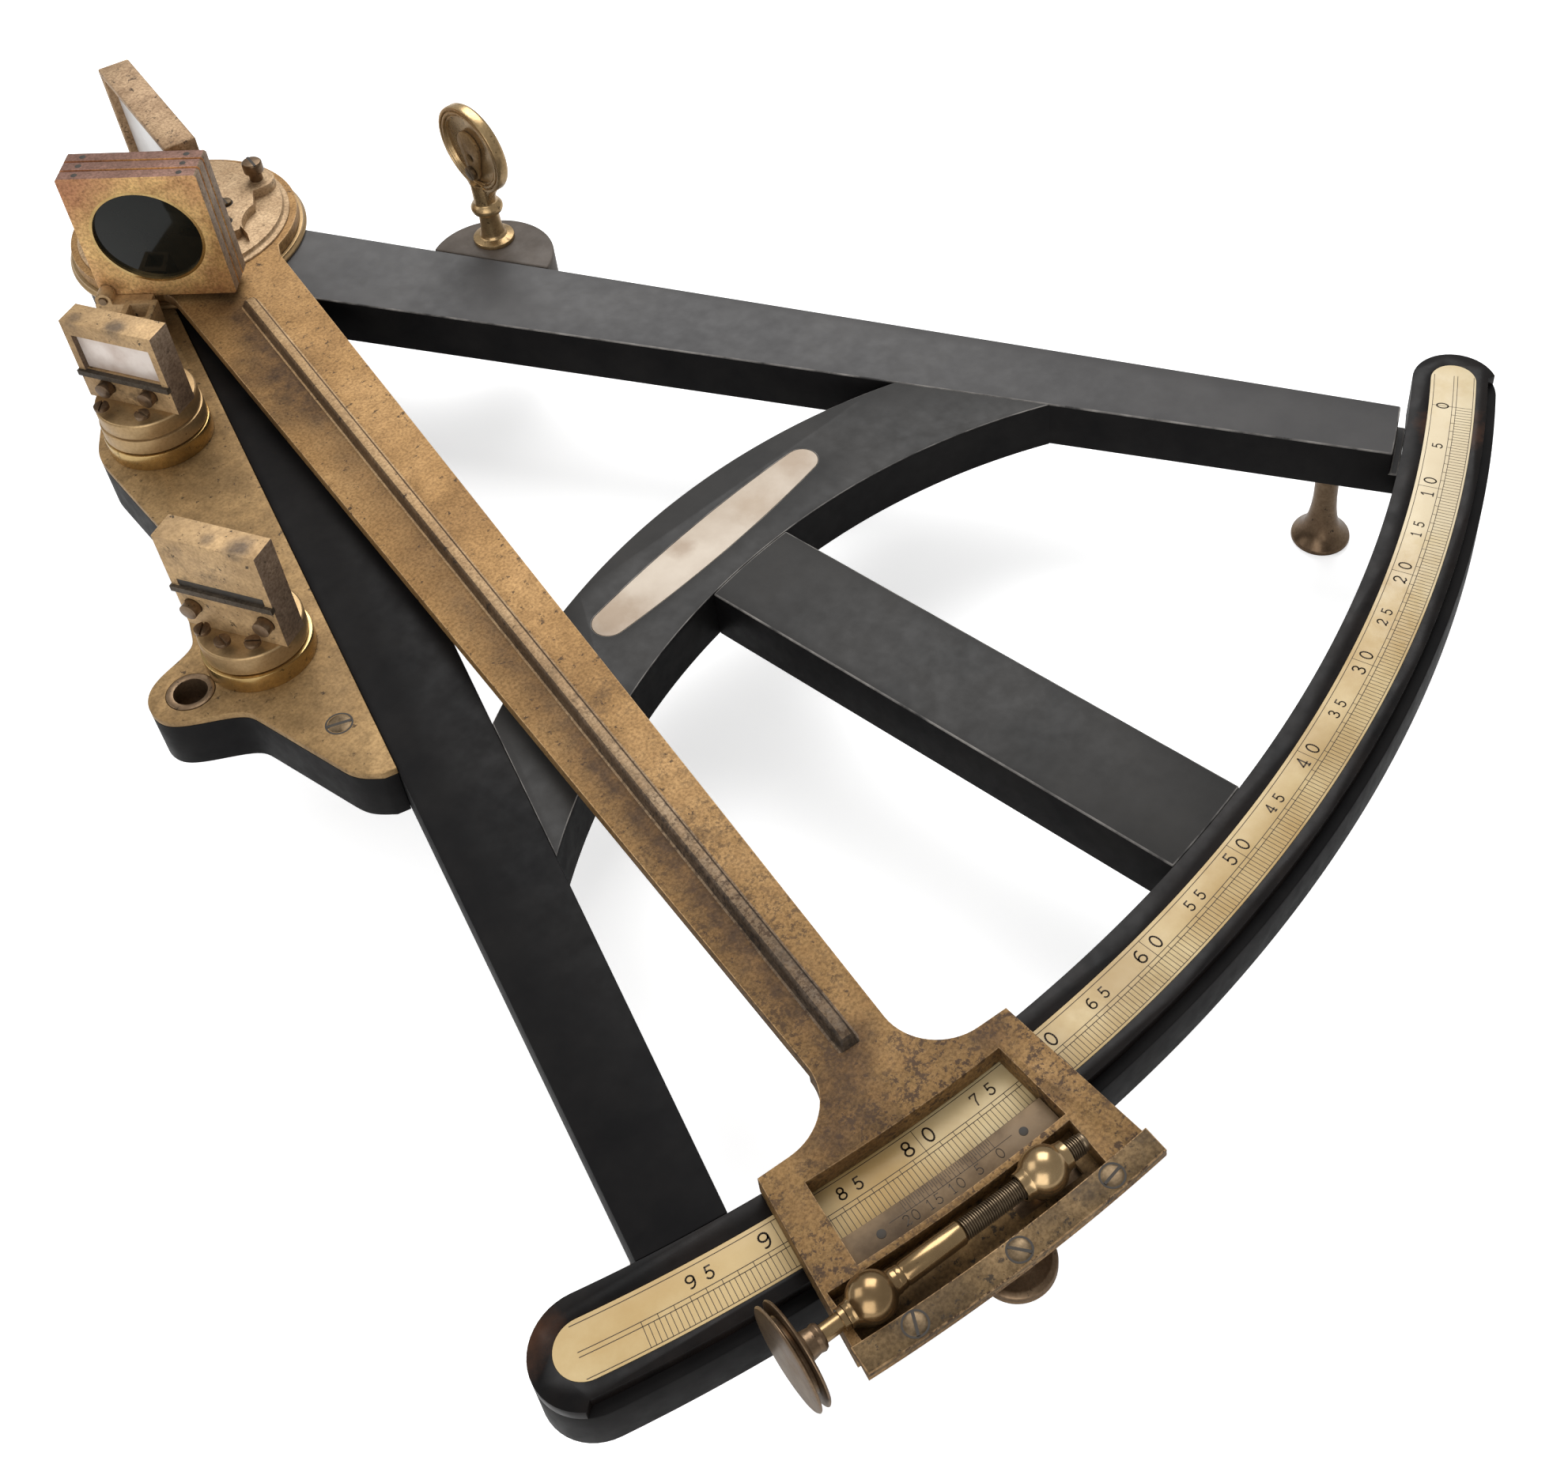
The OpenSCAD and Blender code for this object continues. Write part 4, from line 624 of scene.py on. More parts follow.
def name_outline(gap):
    pts = []
    for s in (1, -1):
        for k in range(41):
            x = s * (-NAME_EX + 2 * NAME_EX * k / 40)
            y = s * (NAME_W / 2 - gap - bow + sqrt(bow * bow - x * x))
            pts.append((x, NAME_C + y))
        for k in range(1, 16):
            a = rad(s * 90 - 180 * k / 16) if s > 0 else rad(-90 - 180 * k / 16)
            pts.append((s * NAME_EX + (NAME_ER - gap) * cos(a), NAME_C + (NAME_ER - gap) * sin(a)))
    return pts


face_plate = add("brace_face", plate([brace, name_outline(0)], INLAY_Z, 0, width=0.3, top_only=True), EBONY, "frame",
                 ["cross_brace"])
# Painted sheen on the brace's top faces, and a painted highlight with wear on its bevels.
recolour(face_plate, STRUT_SHEEN_EBONY, is_top)
recolour(face_plate, EDGE_HIGHLIGHT_EBONY, is_bevel)
add("brace_body", plate([brace], -FRAME_T, INLAY_Z, width=0), EBONY, "frame", ())
add("name_ivory", plate([name_outline(0.08)], INLAY_Z + 0.1, 0, width=0.12), NAME_IVORY, "frame", ["name_plate"])
for n in ("right_limb", "left_limb", "centre_strut"):
    piece = soften(n, EBONY, 0.35, 2)
    # Painted sheen on the top faces of the right limb and the strut, and a painted highlight with wear on their
    # bevels.
    if n != "left_limb":
        recolour(piece, SHEEN_EBONY if n == "right_limb" else STRUT_SHEEN_EBONY, is_top)
        recolour(piece, EDGE_HIGHLIGHT_EBONY, is_bevel)
boss = circle(42, -70, 16, 128)
edge = [limb_edge(1, limb_half(y), y) for y in (0, -150)]
ex, ey = edge[1][0] - edge[0][0], edge[1][1] - edge[0][1]
keep = [p for p in boss if ex * (p[1] - edge[0][1]) - ey * (p[0] - edge[0][0]) > 0]
k0 = max(range(len(keep)), key=lambda k: hypot(keep[k][0] - keep[k - 1][0], keep[k][1] - keep[k - 1][1]))
keep = keep[k0:] + keep[:k0]
add("sight_boss_shown", plate([keep], -FRAME_T, 0, width=0.5, segs=3), BOSS_SHEEN_EBONY, "frame", ["sight_boss"])


# Horizon plate: its free edge is traced across the left limb
def limb_frame(p):
    a = rad(-90 - LEAN)
    x, y = p[0] - LIMB_OFF, p[1]
    return x * cos(a) + y * sin(a), -(-x * sin(a) + y * cos(a))


def from_limb(s, w):
    a = rad(-90 - LEAN)
    return LIMB_OFF + s * cos(a) + w * sin(a), s * sin(a) - w * cos(a)


def plate_edge():
    """The free edge, as places along the limb and how far out it stands: discs joined by straight strips."""
    ends = ((FRONT_SOCKET, 9.0), (FORE_C, 14.6), ((-61, -94), 12.5), (BACK_C, 13.2), (BACK_SOCKET, 8.8),
            ((-83.8, -171.8), 8.6))
    ends = [(*limb_frame(c), r) for c, r in ends]
    discs = list(ends)
    for i, j in ((0, 1), (1, 2), (2, 3), (3, 4), (3, 5)):
        discs += [[p + (q - p) * (k / 40) for p, q in zip(ends[i], ends[j])] for k in range(41)]
    step = 0.4
    s0, s1 = 4.0, 203.0
    prof = []
    for k in range(int((s1 - s0) / step) + 1):
        s = s0 + k * step
        reach = [cw + sqrt(r * r - (s - cs) ** 2) for cs, cw, r in discs if abs(s - cs) < r]
        prof.append([s, max(reach, default=-99.0)])
    return prof


def smooth(prof, passes):
    for _ in range(passes):
        w = [p[1] for p in prof]
        for k in range(1, len(prof) - 1):
            if w[k - 1] > -50 and w[k + 1] > -50:
                prof[k][1] = 0.25 * w[k - 1] + 0.5 * w[k] + 0.25 * w[k + 1]
    return prof


def plate_outline(head_r):
    prof = [p for p in smooth(plate_edge(), 30) if p[1] > limb_half(-p[0]) - 1]
    out = [from_limb(s, w) for s, w in prof]
    out = [p for p in out if hypot(*p) > head_r]
    back = []
    for k in range(80, -1, -1):
        s = prof[0][0] + (prof[-1][0] - prof[0][0]) * k / 80
        q = from_limb(s, limb_half(-s) + 0.05)
        if hypot(*q) > head_r:
            back.append(q)
    return out + back + arc(0, 0, head_r, bearing(*back[-1]), bearing(*out[0]), 20)[1:-1]


def socket_hole(c):
    return circle(*c, 5.05, 64)


add("platform_ebony", plate([plate_outline(28.2), socket_hole(BACK_SOCKET)], -FRAME_T, -1, width=0.5, segs=3), EBONY,
    "frame", ["horizon_platform"])
add("platform_brass", plate([plate_outline(30.2), socket_hole(BACK_SOCKET), socket_hole(FRONT_SOCKET)], -1, PLATE_T,
                            width=0.25), BR["plate"], "frame", ["horizon_plate"])


def turned(name, parts, mat, body, nodes, steps=72, soft=0.2):
    bm = bmesh.new()
    for prof, local in parts:
        lathe_bm(rounded(prof, soft), steps, bm, local)
    bmesh.ops.remove_doubles(bm, verts=bm.verts, dist=1e-6)
    return add(name, finish_bm(bm), mat, body, nodes)


for side, c in (("front", FRONT_SOCKET), ("back", BACK_SOCKET)):
    turned(side + "_socket", [(tube(3.5, 5.0, -FRAME_T, 0.85), at(*c))], BR["dark"], "frame",
           [side + "_shade_socket"])
screws("plate_screw", [(at(-85.3, -161.6, -0.1), -30)], ["plate_screws"], "frame", 2.6, 1.0, 0.9)
turned("pivot_plate_shown", [([(5.3, 0), (29.6, 0), (30, 0.4), (30, 1.0), (29.4, 1.5), (29.4, 2.0), (5.3, 2.0),
                               (5.3, 0)], I4)], BR["turned"], "frame", ["pivot_plate"], 128)
foot = [(0, 0), (7.0, 0), (7.4, 0.5), (7.3, 1.3), (6.0, 2.6), (4.6, 4.6), (3.7, 7.2), (3.2, 10.5), (2.95, 14),
        (2.9, 20), (3.2, 22.6), (4.2, 24.0), (5.3, 24.8), (5.3, 27), (0, 27)]
FEET = ((117.9, -279.5), (-117.9, -279.5), (-24.0, -62.0))
turned("feet_shown", [(foot, at(*c, -Z_SHIFT)) for c in FEET], BR["dark"], "frame", ["feet"])

# Sight: turned post, dished disc and swinging shutter
post = [(0, -7.5), (2, -7.5), (2, 0), (5.3, 0), (5.3, 1.1), (3.4, 1.6), (3.0, 2.4), (2.75, 4.6), (2.6, 8.6),
        (3.8, 9.4), (4.1, 10.2), (4.1, 10.9), (3.7, 11.6), (3.0, 12.2), (2.9, 14.0), (2.9, 18.4), (0, 18.6)]
fan = [(12.4, -2.9), (15.0, -3.6), (17.4, -5.2), (19.4, -7.4), (19.4, 7.4), (17.4, 5.2), (15.0, 3.6), (12.4, 2.9)]
disc = [(0, -1.6), (9.6, -1.6), (10.2, -1.9), (11.6, -1.6), (12, -0.9), (12, 0.9), (11.85, 1.5), (11.1, 1.6),
        (10.95, 0.95), (10.7, 0.95), (10.6, 1.5), (10.0, 1.5), (9.85, 0.9), (9.6, 0.9), (9.5, 1.2), (9.3, 1.2),
        (9.15, 0.65), (0, 0.6)]
turned("sight_post_shown", [(post, SIGHT)], BR["sight"], "frame", ["sight_post"])
turned("sight_disc", [(disc, SIGHT @ at(0, 0, SIGHT_Z) @ TO_X)], BR["sight"], "frame", (), 96, 0.06)
FLAT_X = Matrix(((0, 0, 1, 0), (0, 1, 0, 0), (1, 0, 0, 0), (0, 0, 0, 1)))
add("sight_fan", plate([fan], -1.3, 1.3, SIGHT @ FLAT_X, 0.5, 3), BR["sight"], "frame", ())
soften("sight_shutter", BR["plate"], 0.12)
soften("shutter_screw", STEEL, 0.08)
soften("centre_bush", BR["dark"], 0.1)
# Painted shade: dark discs on both faces of the sight disc where its two peep holes are.
hole = bmesh.new()
for dz, r in ((-2.4, 1.0), (4.4, 0.8)):
    lathe_bm([(0, 0.55), (r, 0.55), (r, 0.7), (0, 0.7)], 24, hole, SIGHT @ at(0, 0, SIGHT_Z + dz) @ TO_X)
    lathe_bm([(0, -1.72), (r, -1.72), (r, -1.55), (0, -1.55)], 24, hole, SIGHT @ at(0, 0, SIGHT_Z + dz) @ TO_X)
add("sight_hole_shade", finish_bm(hole), SLOT, "frame", ())


# Engraving: lines and plain numbers as thin raised strokes
def stroke(bm, p, q, z, half, local=I4):
    d = Vector((q[0] - p[0], q[1] - p[1]))
    if d.length < 1e-6:
        return
    d.normalize()
    n = Vector((-d.y, d.x)) * half
    e = d * half * 0.6
    pts = [(p[0] - e.x + n.x, p[1] - e.y + n.y), (q[0] + e.x + n.x, q[1] + e.y + n.y),
           (q[0] + e.x - n.x, q[1] + e.y - n.y), (p[0] - e.x - n.x, p[1] - e.y - n.y)]
    block_bm(bm, pts, z - 0.05, z + 0.025, local)


DIGITS = {
    "0": [oval(0.3, 0.5, 0.3, 0.5, 0, 360, 20)],
    "1": [[(0.12, 0.8), (0.3, 1), (0.3, 0)], [(0.1, 0), (0.5, 0)]],
    "2": [oval(0.3, 0.72, 0.27, 0.28, 170, -35, 10) + [(0.02, 0.04), (0.2, 0.1), (0.42, 0.0), (0.6, 0.12)]],
    "3": [oval(0.27, 0.76, 0.24, 0.24, 160, -90, 10) + oval(0.27, 0.26, 0.3, 0.26, 90, -160, 12)],
    "4": [[(0.46, 0), (0.46, 1), (0.0, 0.28), (0.62, 0.28)], [(0.32, 0), (0.6, 0)]],
    "5": [[(0.54, 1), (0.14, 1), (0.1, 0.54)] + oval(0.28, 0.31, 0.3, 0.31, 130, -155, 12)],
    "6": [oval(0.36, 0.5, 0.36, 0.5, 70, 180, 8) + oval(0.3, 0.28, 0.3, 0.28, 180, 540, 16)],
    "7": [[(0.02, 0.86), (0.06, 1), (0.58, 1), (0.3, 0.45), (0.22, 0)]],
    "8": [oval(0.3, 0.75, 0.24, 0.25, -90, 270, 16), oval(0.3, 0.26, 0.3, 0.26, 90, 450, 18)],
    "9": [oval(0.3, 0.72, 0.3, 0.28, 0, 360, 16) + oval(0.24, 0.5, 0.36, 0.5, 0, -110, 8)],
}


def number(bm, text, places, y, h, z, half, local):
    """Digits of height h, each with its lower left corner at its place across and at y."""
    for ch, x in zip(text, places):
        for line in DIGITS[ch]:
            for p, q in zip(line, line[1:]):
                stroke(bm, (x + p[0] * h, y + p[1] * h), (x + q[0] * h, y + q[1] * h), z, half, local)


def ray(bm, r0, r1, a, z, half, local=I4):
    stroke(bm, (r0 * cos(a), r0 * sin(a)), (r1 * cos(a), r1 * sin(a)), z, half, local)


def ring_line(bm, r, a0, a1, half, z, local=I4, step=0.5):
    n = max(1, int(abs(a1 - a0) / step))
    pts = arc(0, 0, r, a0, a1, n)
    for p, q in zip(pts, pts[1:]):
        stroke(bm, p, q, z, half, local)


ink = bmesh.new()
ZERO_A = -65.3
FULL = INLAY_A + 0.25
TEN_R, DEGREE_R, THIRD_R, RIM_R = 325.3, 330.0, 330.9, 334.8
for r in (TEN_R, DEGREE_R, THIRD_R, RIM_R):
    ring_line(ink, r, -90 - FULL, -90 + FULL, 0.07, 0.0)
for k in range(99 * 3 + 1):
    r = TEN_R if k % 30 == 0 else DEGREE_R if k % 3 == 0 else THIRD_R
    ray(ink, r, RIM_R, rad(ZERO_A - k / 6), 0.0, 0.055)
for v in range(0, 100, 5):
    loc = turn(ZERO_A - v / 2 + 90) @ at(0, -329.4)
    if v % 10 == 0:
        number(ink, str(v), (-3.2, 1.3) if v > 9 else (-0.8,), 0.3, 2.75, 0.0, 0.17, loc)
    else:
        number(ink, str(v), (-2.4, 0.9) if v > 9 else (-0.7,), 0.5, 2.25, 0.0, 0.15, loc)
add("scale_engraving", finish_bm(ink), INK, "frame", ())

# Index arm: bar, end plate with window and recess, rib and strip
VERN_IN, VERN_OUT, SLOT_IN, SLOT_OUT = 335.7, 342.3, 343.7, 353.7
NECK_R, END_IN, HALF_IN, HALF_OUT = 12.0, 318.7, 26.6, 31.0


def half_w(u):
    return 14.85 - 0.0214 * u


def ring_cut(r, w):
    return sqrt(r * r - w * w)


SH_U = END_IN - NECK_R
neck = half_w(SH_U)
side = arc(SH_U, -neck - NECK_R, NECK_R, 90, 0, 16)
top_a = span(HALF_OUT, END_R)
outer_edge = arc(0, 0, END_R, -top_a, top_a, 24)
LOW_R = END_R - 4.2
low_a = span(30.54, LOW_R)
low_edge = arc(0, 0, LOW_R, -low_a, low_a, 24)
flare = side[1:] + [(END_IN, -HALF_IN)]
mirror_flare = [(u, -w) for u, w in reversed(flare)]
end_outline = [(SH_U, neck), (SH_U, -neck)] + flare + low_edge + mirror_flare
WINDOW_IN = 325.0
wi, wo = span(20.6, WINDOW_IN), span(21.9, VERN_OUT)
window = arc(0, 0, WINDOW_IN, -wi, wi, 24) + arc(0, 0, VERN_OUT, wo, -wo, 24)
FIX_W, MOVE_W, BALL_R = -23.5, 12.0, 4.5


def recess(w0, w1):
    """The hollow of the slow-motion screw, between two places across the arm."""
    out = []
    for r, a, b in ((SLOT_IN, w0, w1), (SLOT_OUT, w1, w0)):
        across = [a + (b - a) * k / 20 for k in range(21)]
        out += [(ring_cut(r, w), w) for w in across]
    return out


wide_slot = recess(FIX_W - BALL_R - 0.4, MOVE_W + BALL_R + 5.2)
RECESS_Z = TANGENT_Z - BALL_R - 0.2
POST_R, POST_REACH = 2.7, 6.7
post_slot = [(TANGENT_U + x * POST_R, MOVE_W + y * POST_REACH) for x, y in ((-1, -1), (1, -1), (1, 1), (-1, 1))]
ARM_LOW, LIP_LOW, LIP_Z = 0.5, 2.3, 4.3
add("arm_end_floor", plate([end_outline, window, post_slot], ARM_LOW, RECESS_Z, ARM, 0.1), BR["end"], "index_arm",
    ["index_arm"])
add("arm_end_lower", plate([end_outline, window, wide_slot], RECESS_Z, LIP_LOW, ARM, 0), BR["end"], "index_arm", ())
places = (SH_U, 300, 200, 100, 28)
bar = [(u, half_w(u)) for u in places] + arc(0, 0, 28.6, 30, 330, 96)[1:-1]
bar += [(u, -half_w(u)) for u in reversed(places)]
middle = bar + flare + low_edge + mirror_flare
add("arm_middle", plate([middle, window, wide_slot], LIP_LOW, LIP_Z, ARM, 0), BR["arm"], "index_arm", ())
top = plate([bar + flare + outer_edge + mirror_flare, window, wide_slot], LIP_Z, ARM_TOP, ARM, 0.15, 2, True)
# A painted edge highlight, with wear, on the bevels of the arm's top.
recolour(add("arm_top", top, BR["arm"], "index_arm", ()), BR["rubbed_highlight"], is_bevel)


def rib_bm(u0, u1, half):
    """A straight ridge with hollow sides that runs out at both ends."""
    bm = bmesh.new()
    loops = []
    for u, f in ((u0, 0.05), (u0 + 1.2, 0.75), (u0 + 3, 1.0), (u1 - 3, 1.0), (u1 - 1.2, 0.75), (u1, 0.05)):
        right = [(w, ARM_TOP - 0.02 + z * f) for w, z in half]
        loops.append([bm.verts.new((u, w, z)) for w, z in right + [(-w, z) for w, z in reversed(right)]])
    for a, b in zip(loops, loops[1:]):
        for k in range(len(a)):
            j = (k + 1) % len(a)
            bm.faces.new((a[k], a[j], b[j], b[k]))
    for lp in (loops[0], loops[-1]):
        bm.faces.new(lp)
    return bm


RIB = [(2.5, 0), (2.0, 0.12), (1.75, 0.5), (1.6, 1.2), (1.5, 2.0), (1.3, 2.55), (0.95, 2.76)]
rib = add("arm_rib", finish_bm(rib_bm(42, 308, RIB), ARM), BR["rib"], "index_arm", (), 40)
# Lighter crest on the rib's top faces: a painted highlight, with wear.
recolour(rib, BR["crest"], is_top)
STRIP_IN, STRIP_OUT, STRIP_TOP = SLOT_OUT + 0.2, END_R - 0.02, 6.5
si, so = span(30.8, STRIP_IN), span(30.95, END_R)
strip = plate([arc(0, 0, STRIP_IN, -si, si, 30) + arc(0, 0, STRIP_OUT, so, -so, 30)], ARM_TOP, STRIP_TOP, ARM, 0.25,
              2, True)
strip = add("arm_strip_shown", strip, BR["strip"], "index_arm", ["arm_strip"])
# A painted edge highlight, with wear, on the strip's bevels.
recolour(strip, BR["rubbed_highlight"], is_bevel)
screws("strip_screw", [(ARM @ at(ring_cut(356.5, w), w, 5.75), 40 + 3 * w) for w in (-20.4, 0.3, 20.6)],
       ["strip_screws"], "index_arm", 2.1, 0.93, 0.75)
va = span(21.5, 339)
vern = arc(0, 0, VERN_IN, -va, va, 30) + arc(0, 0, VERN_OUT - 0.05, va, -va, 30)
VERN_TOP = 2.5
add("vernier_ivory", plate([vern], ARM_LOW, VERN_TOP, ARM, 0.25), OLD_IVORY, "index_arm", ["vernier_plate"])
pin = [(0, 0), (0.85, 0), (0.85, 0.16), (0, 0.16)]
turned("vernier_pins_shown", [(pin, ARM @ turn(a) @ at(VERN_IN + 3.2, 0, 2.42)) for a in (-2.55, 2.55)], SLOT,
       "index_arm", ["vernier_pins"], 24, 0.05)
vink = bmesh.new()
VERN_SPAN = 3.1667
ring_line(vink, VERN_IN + 2.4, -2.2, 2.2, 0.06, VERN_TOP, ARM, 0.3)
for k in range(41):
    r1 = VERN_IN + (2.4 if k % 2 == 0 else 1.4)
    ray(vink, VERN_IN + 0.25, r1, rad(-1.6 + k * VERN_SPAN / 40), VERN_TOP, 0.05, ARM)
for k, text in enumerate(("20", "15", "10", "5", "0")):
    loc = ARM @ turn(-1.58 + k * VERN_SPAN / 4 + 90) @ at(0, -(VERN_IN + 5.0))
    number(vink, text, (-1.5, 0.25) if len(text) == 2 else (-0.55,), 0.3, 1.9, VERN_TOP, 0.08, loc)
add("vernier_engraving", finish_bm(vink), INK, "index_arm", ())

# Tangent screw with its balls, clamp and knobs
SCREW = ARM @ at(TANGENT_U, 0, TANGENT_Z) @ TO_Y


def ball(r, hole, collar):
    """A bored ball with a flat collar at each end of the bore."""
    prof = [(hole, -r - 0.5), (collar, -r - 0.5), (collar, -r * 0.93)]
    for k in range(27):
        a = -pi / 2 + pi * k / 26
        if r * cos(a) > collar * 0.97:
            prof.append((r * cos(a), r * sin(a)))
    return prof + [(collar, r * 0.93), (collar, r + 0.5), (hole, r + 0.5), (hole, -r - 0.5)]


stem = [(0, RECESS_Z), (2.6, RECESS_Z), (2.4, 3.2), (0, 3.2)]
turned("fixed_ball_shown", [(ball(BALL_R, 1.65, 2.3), SCREW @ at(0, 0, FIX_W)), (stem, ARM @ at(TANGENT_U, FIX_W))],
       BR["ball"], "index_arm", ["fixed_ball"], 64, 0.1)
stem = [(0, 0.2), (2.35, 0.2), (2.35, 3.2), (0, 3.2)]
turned("clamp_ball_shown", [(ball(BALL_R, 2.2, 2.7), SCREW @ at(0, 0, MOVE_W)), (stem, ARM @ at(TANGENT_U, MOVE_W))],
       BR["ball"], "clamp", ["clamp_ball"], 64, 0.1)
B0 = FIX_W + BALL_R + 0.2
T0 = B0 + 13.6
T1 = MOVE_W + BALL_R + 4.6
prof = [(0, -37.5), (1.6, -37.5), (1.6, FIX_W - BALL_R - 1.5), (2.1, FIX_W - BALL_R - 1.5),
        (2.1, FIX_W - BALL_R - 0.6), (1.6, FIX_W - BALL_R - 0.6), (1.6, B0), (2.0, B0), (2.15, B0 + 0.3),
        (2.15, B0 + 1.2), (1.95, B0 + 1.5), (2.15, B0 + 1.9), (2.15, T0 - 0.4), (1.9, T0)]
z = T0 + 0.3
thread = [(0, z)]
while z < T1 - 1.0:
    thread += [(1.9, z), (1.9, z + 0.1), (1.5, z + 0.26), (1.5, z + 0.3)]
    z += 0.45
thread += [(1.7, z), (1.7, T1 - 0.3), (1.4, T1), (0, T1)]
prof += [(0, T0)]
add("tangent_screw_shown", finish_bm(lathe_bm(prof, 48), SCREW), BR["ball"], "tangent_screw", ["tangent_screw"],
    60)
add("tangent_thread", finish_bm(lathe_bm(thread, 48), SCREW), BR["thread"], "tangent_screw", (), 60)
knob = [(0, -40), (8.4, -40), (9.3, -39.85), (9.6, -39.6), (9.5, -39.4), (9.0, -39.35), (7.0, -39.3), (6.8, -38.8),
        (7.0, -38.25), (9.0, -38.2), (9.5, -38.1), (9.6, -37.9), (9.3, -37.6), (8.8, -37.5), (7.6, -37.4),
        (5.2, -37.2), (3.4, -37.0), (2.6, -36.2), (2.3, -34.6), (2.5, -33.8), (2.2, -33.2), (1.6, -33.0), (0, -33.0)]
knob = [(r, min(z, -37.5) if r > 9.0 else z) for r, z in knob]
turned("tangent_knob_shown", [(knob, SCREW)], BR["dark"], "tangent_screw", ["tangent_knob"], 96,
       0.08)
head = [(0, -23.3), (6.0, -23.3), (6.9, -23.0), (7.4, -22.4), (7.1, -21.9), (7.1, -21.6), (7.4, -21.2), (7.2, -20.6),
        (6.2, -20.1), (3.4, -19.9), (3.2, -18.0), (0, -17.9)]
shank = [(0, -18), (1.8, -18), (1.8, -7.7), (0, -7.7)]
CLAMP = ARM @ at(347.5, 6.5)
turned("clamp_screw_shown", [(head, CLAMP), (shank, CLAMP)], BR["dark"],
       "clamp_screw", ["clamp_screw"])
for node, look, width in (("clamp_block", "dark", 0.2), ("clamp_jaw", "dark", 0.3), ("arm_axle", "dark", 0.2),
                          ("axle_washer", "plate", 0.2), ("axle_nut", "plate", 0.3)):
    soften(node, BR[look], width)

# Index mirror on its stepped base
turned("mirror_base_disc", [([(0, ARM_TOP), (26.8, ARM_TOP), (26.8, 5.9), (25.6, 6.1), (25.4, 6.5), (25.4, MIRROR_Z),
                              (0, MIRROR_Z)], ARM)], BR["foot"], "index_arm", ["mirror_base"], 128)
REACH, NEAR = 21.0, 5.4
FOOT_T, TAIL_W, TAIL_R = 2.6, 21.2, 4.4


def ogee():
    """The mirror's foot: broad at the frame, hollow at the sides, with a round tail."""
    half = REACH - 3
    r = [(half, NEAR), (half, NEAR + 3.4), (half - 1.2, NEAR + 4.2)]
    for k in range(1, 18):
        a = rad(-78 - 84 * k / 18)
        r.append((half + 1.2 + 10.4 * cos(a) + 0.4, NEAR + 14.6 + 10.4 * sin(a)))
    r = [p for p in r if p[0] > TAIL_R - 0.2]
    r += [(TAIL_R, TAIL_W - 3.0)] + arc(0, TAIL_W, TAIL_R, 0, 90, 12)
    return r + [(-x, y) for x, y in reversed(r[:-1])]


FOOT_TOP = MIRROR_Z + FOOT_T
add("mirror_foot", plate([ogee()], MIRROR_Z, FOOT_TOP, ARM, 0.5, 3), BR["foot"], "index_arm", ())
soften("mirror_frame", BR["mirror"], 0.45, 3)
soften("index_mirror", MIRROR, 0.15)
screws("mirror_foot_screw", [(ARM @ at(5.2, 10.4, FOOT_TOP - 0.1), 0), (ARM @ at(12.6, 7.2, FOOT_TOP - 0.1), 50)],
       ["mirror_screws"], "index_arm", 1.6, 1.0, 0.1)
adj = [(0, 0), (1.7, 0), (1.7, 2.4), (2.6, 2.7), (2.6, 5.2), (2.3, 5.6), (0, 5.6)]
turned("mirror_adjuster", [(adj, ARM @ at(0, TAIL_W, FOOT_TOP))], BR["dark"], "index_arm", ["mirror_adjusting_screw"],
       40, 0.12)
# Painted shade: a dark box for the adjusting screw's slot.
cut = bmesh.new()
box_bm(cut, -2.5, 2.5, -0.33, 0.33, 5.3, 5.62, ARM @ at(0, TAIL_W, FOOT_TOP))
add("mirror_adjuster_slot", finish_bm(cut), SLOT, "index_arm", ())

# Shades
SHADE_W, SHADE_H, SHADE_T, NEAR_D, PITCH = 33.4, 35.7, 3.3, 22.2, 3.75
SHADE_Z = MIRROR_Z + 0.4
PIN_Y, PIN_Z, CORNER_R = -SHADE_W / 2 + 2, SHADE_Z + 2, 2.0
UP = Matrix(((0, 0, 1, 0), (1, 0, 0, 0), (0, 1, 0, 0), (0, 0, 0, 1)))
MID_Z = SHADE_Z + SHADE_H / 2
HALF, SHADE_TOP = SHADE_W / 2, SHADE_Z + SHADE_H
face = [(-HALF + 0.5, SHADE_TOP), (-HALF, SHADE_TOP - 0.5)] + arc(PIN_Y, PIN_Z, CORNER_R, 180, 270, 14)
face += [(HALF - 0.5, SHADE_Z), (HALF, SHADE_Z + 0.5), (HALF, SHADE_TOP - 0.5), (HALF - 0.5, SHADE_TOP)]
SHADE_FRONT = (SHADE.to_3x3() @ Vector((1, 0, 0))).normalized()


def is_edge(n):
    return abs(n.dot(SHADE_FRONT)) < 0.6


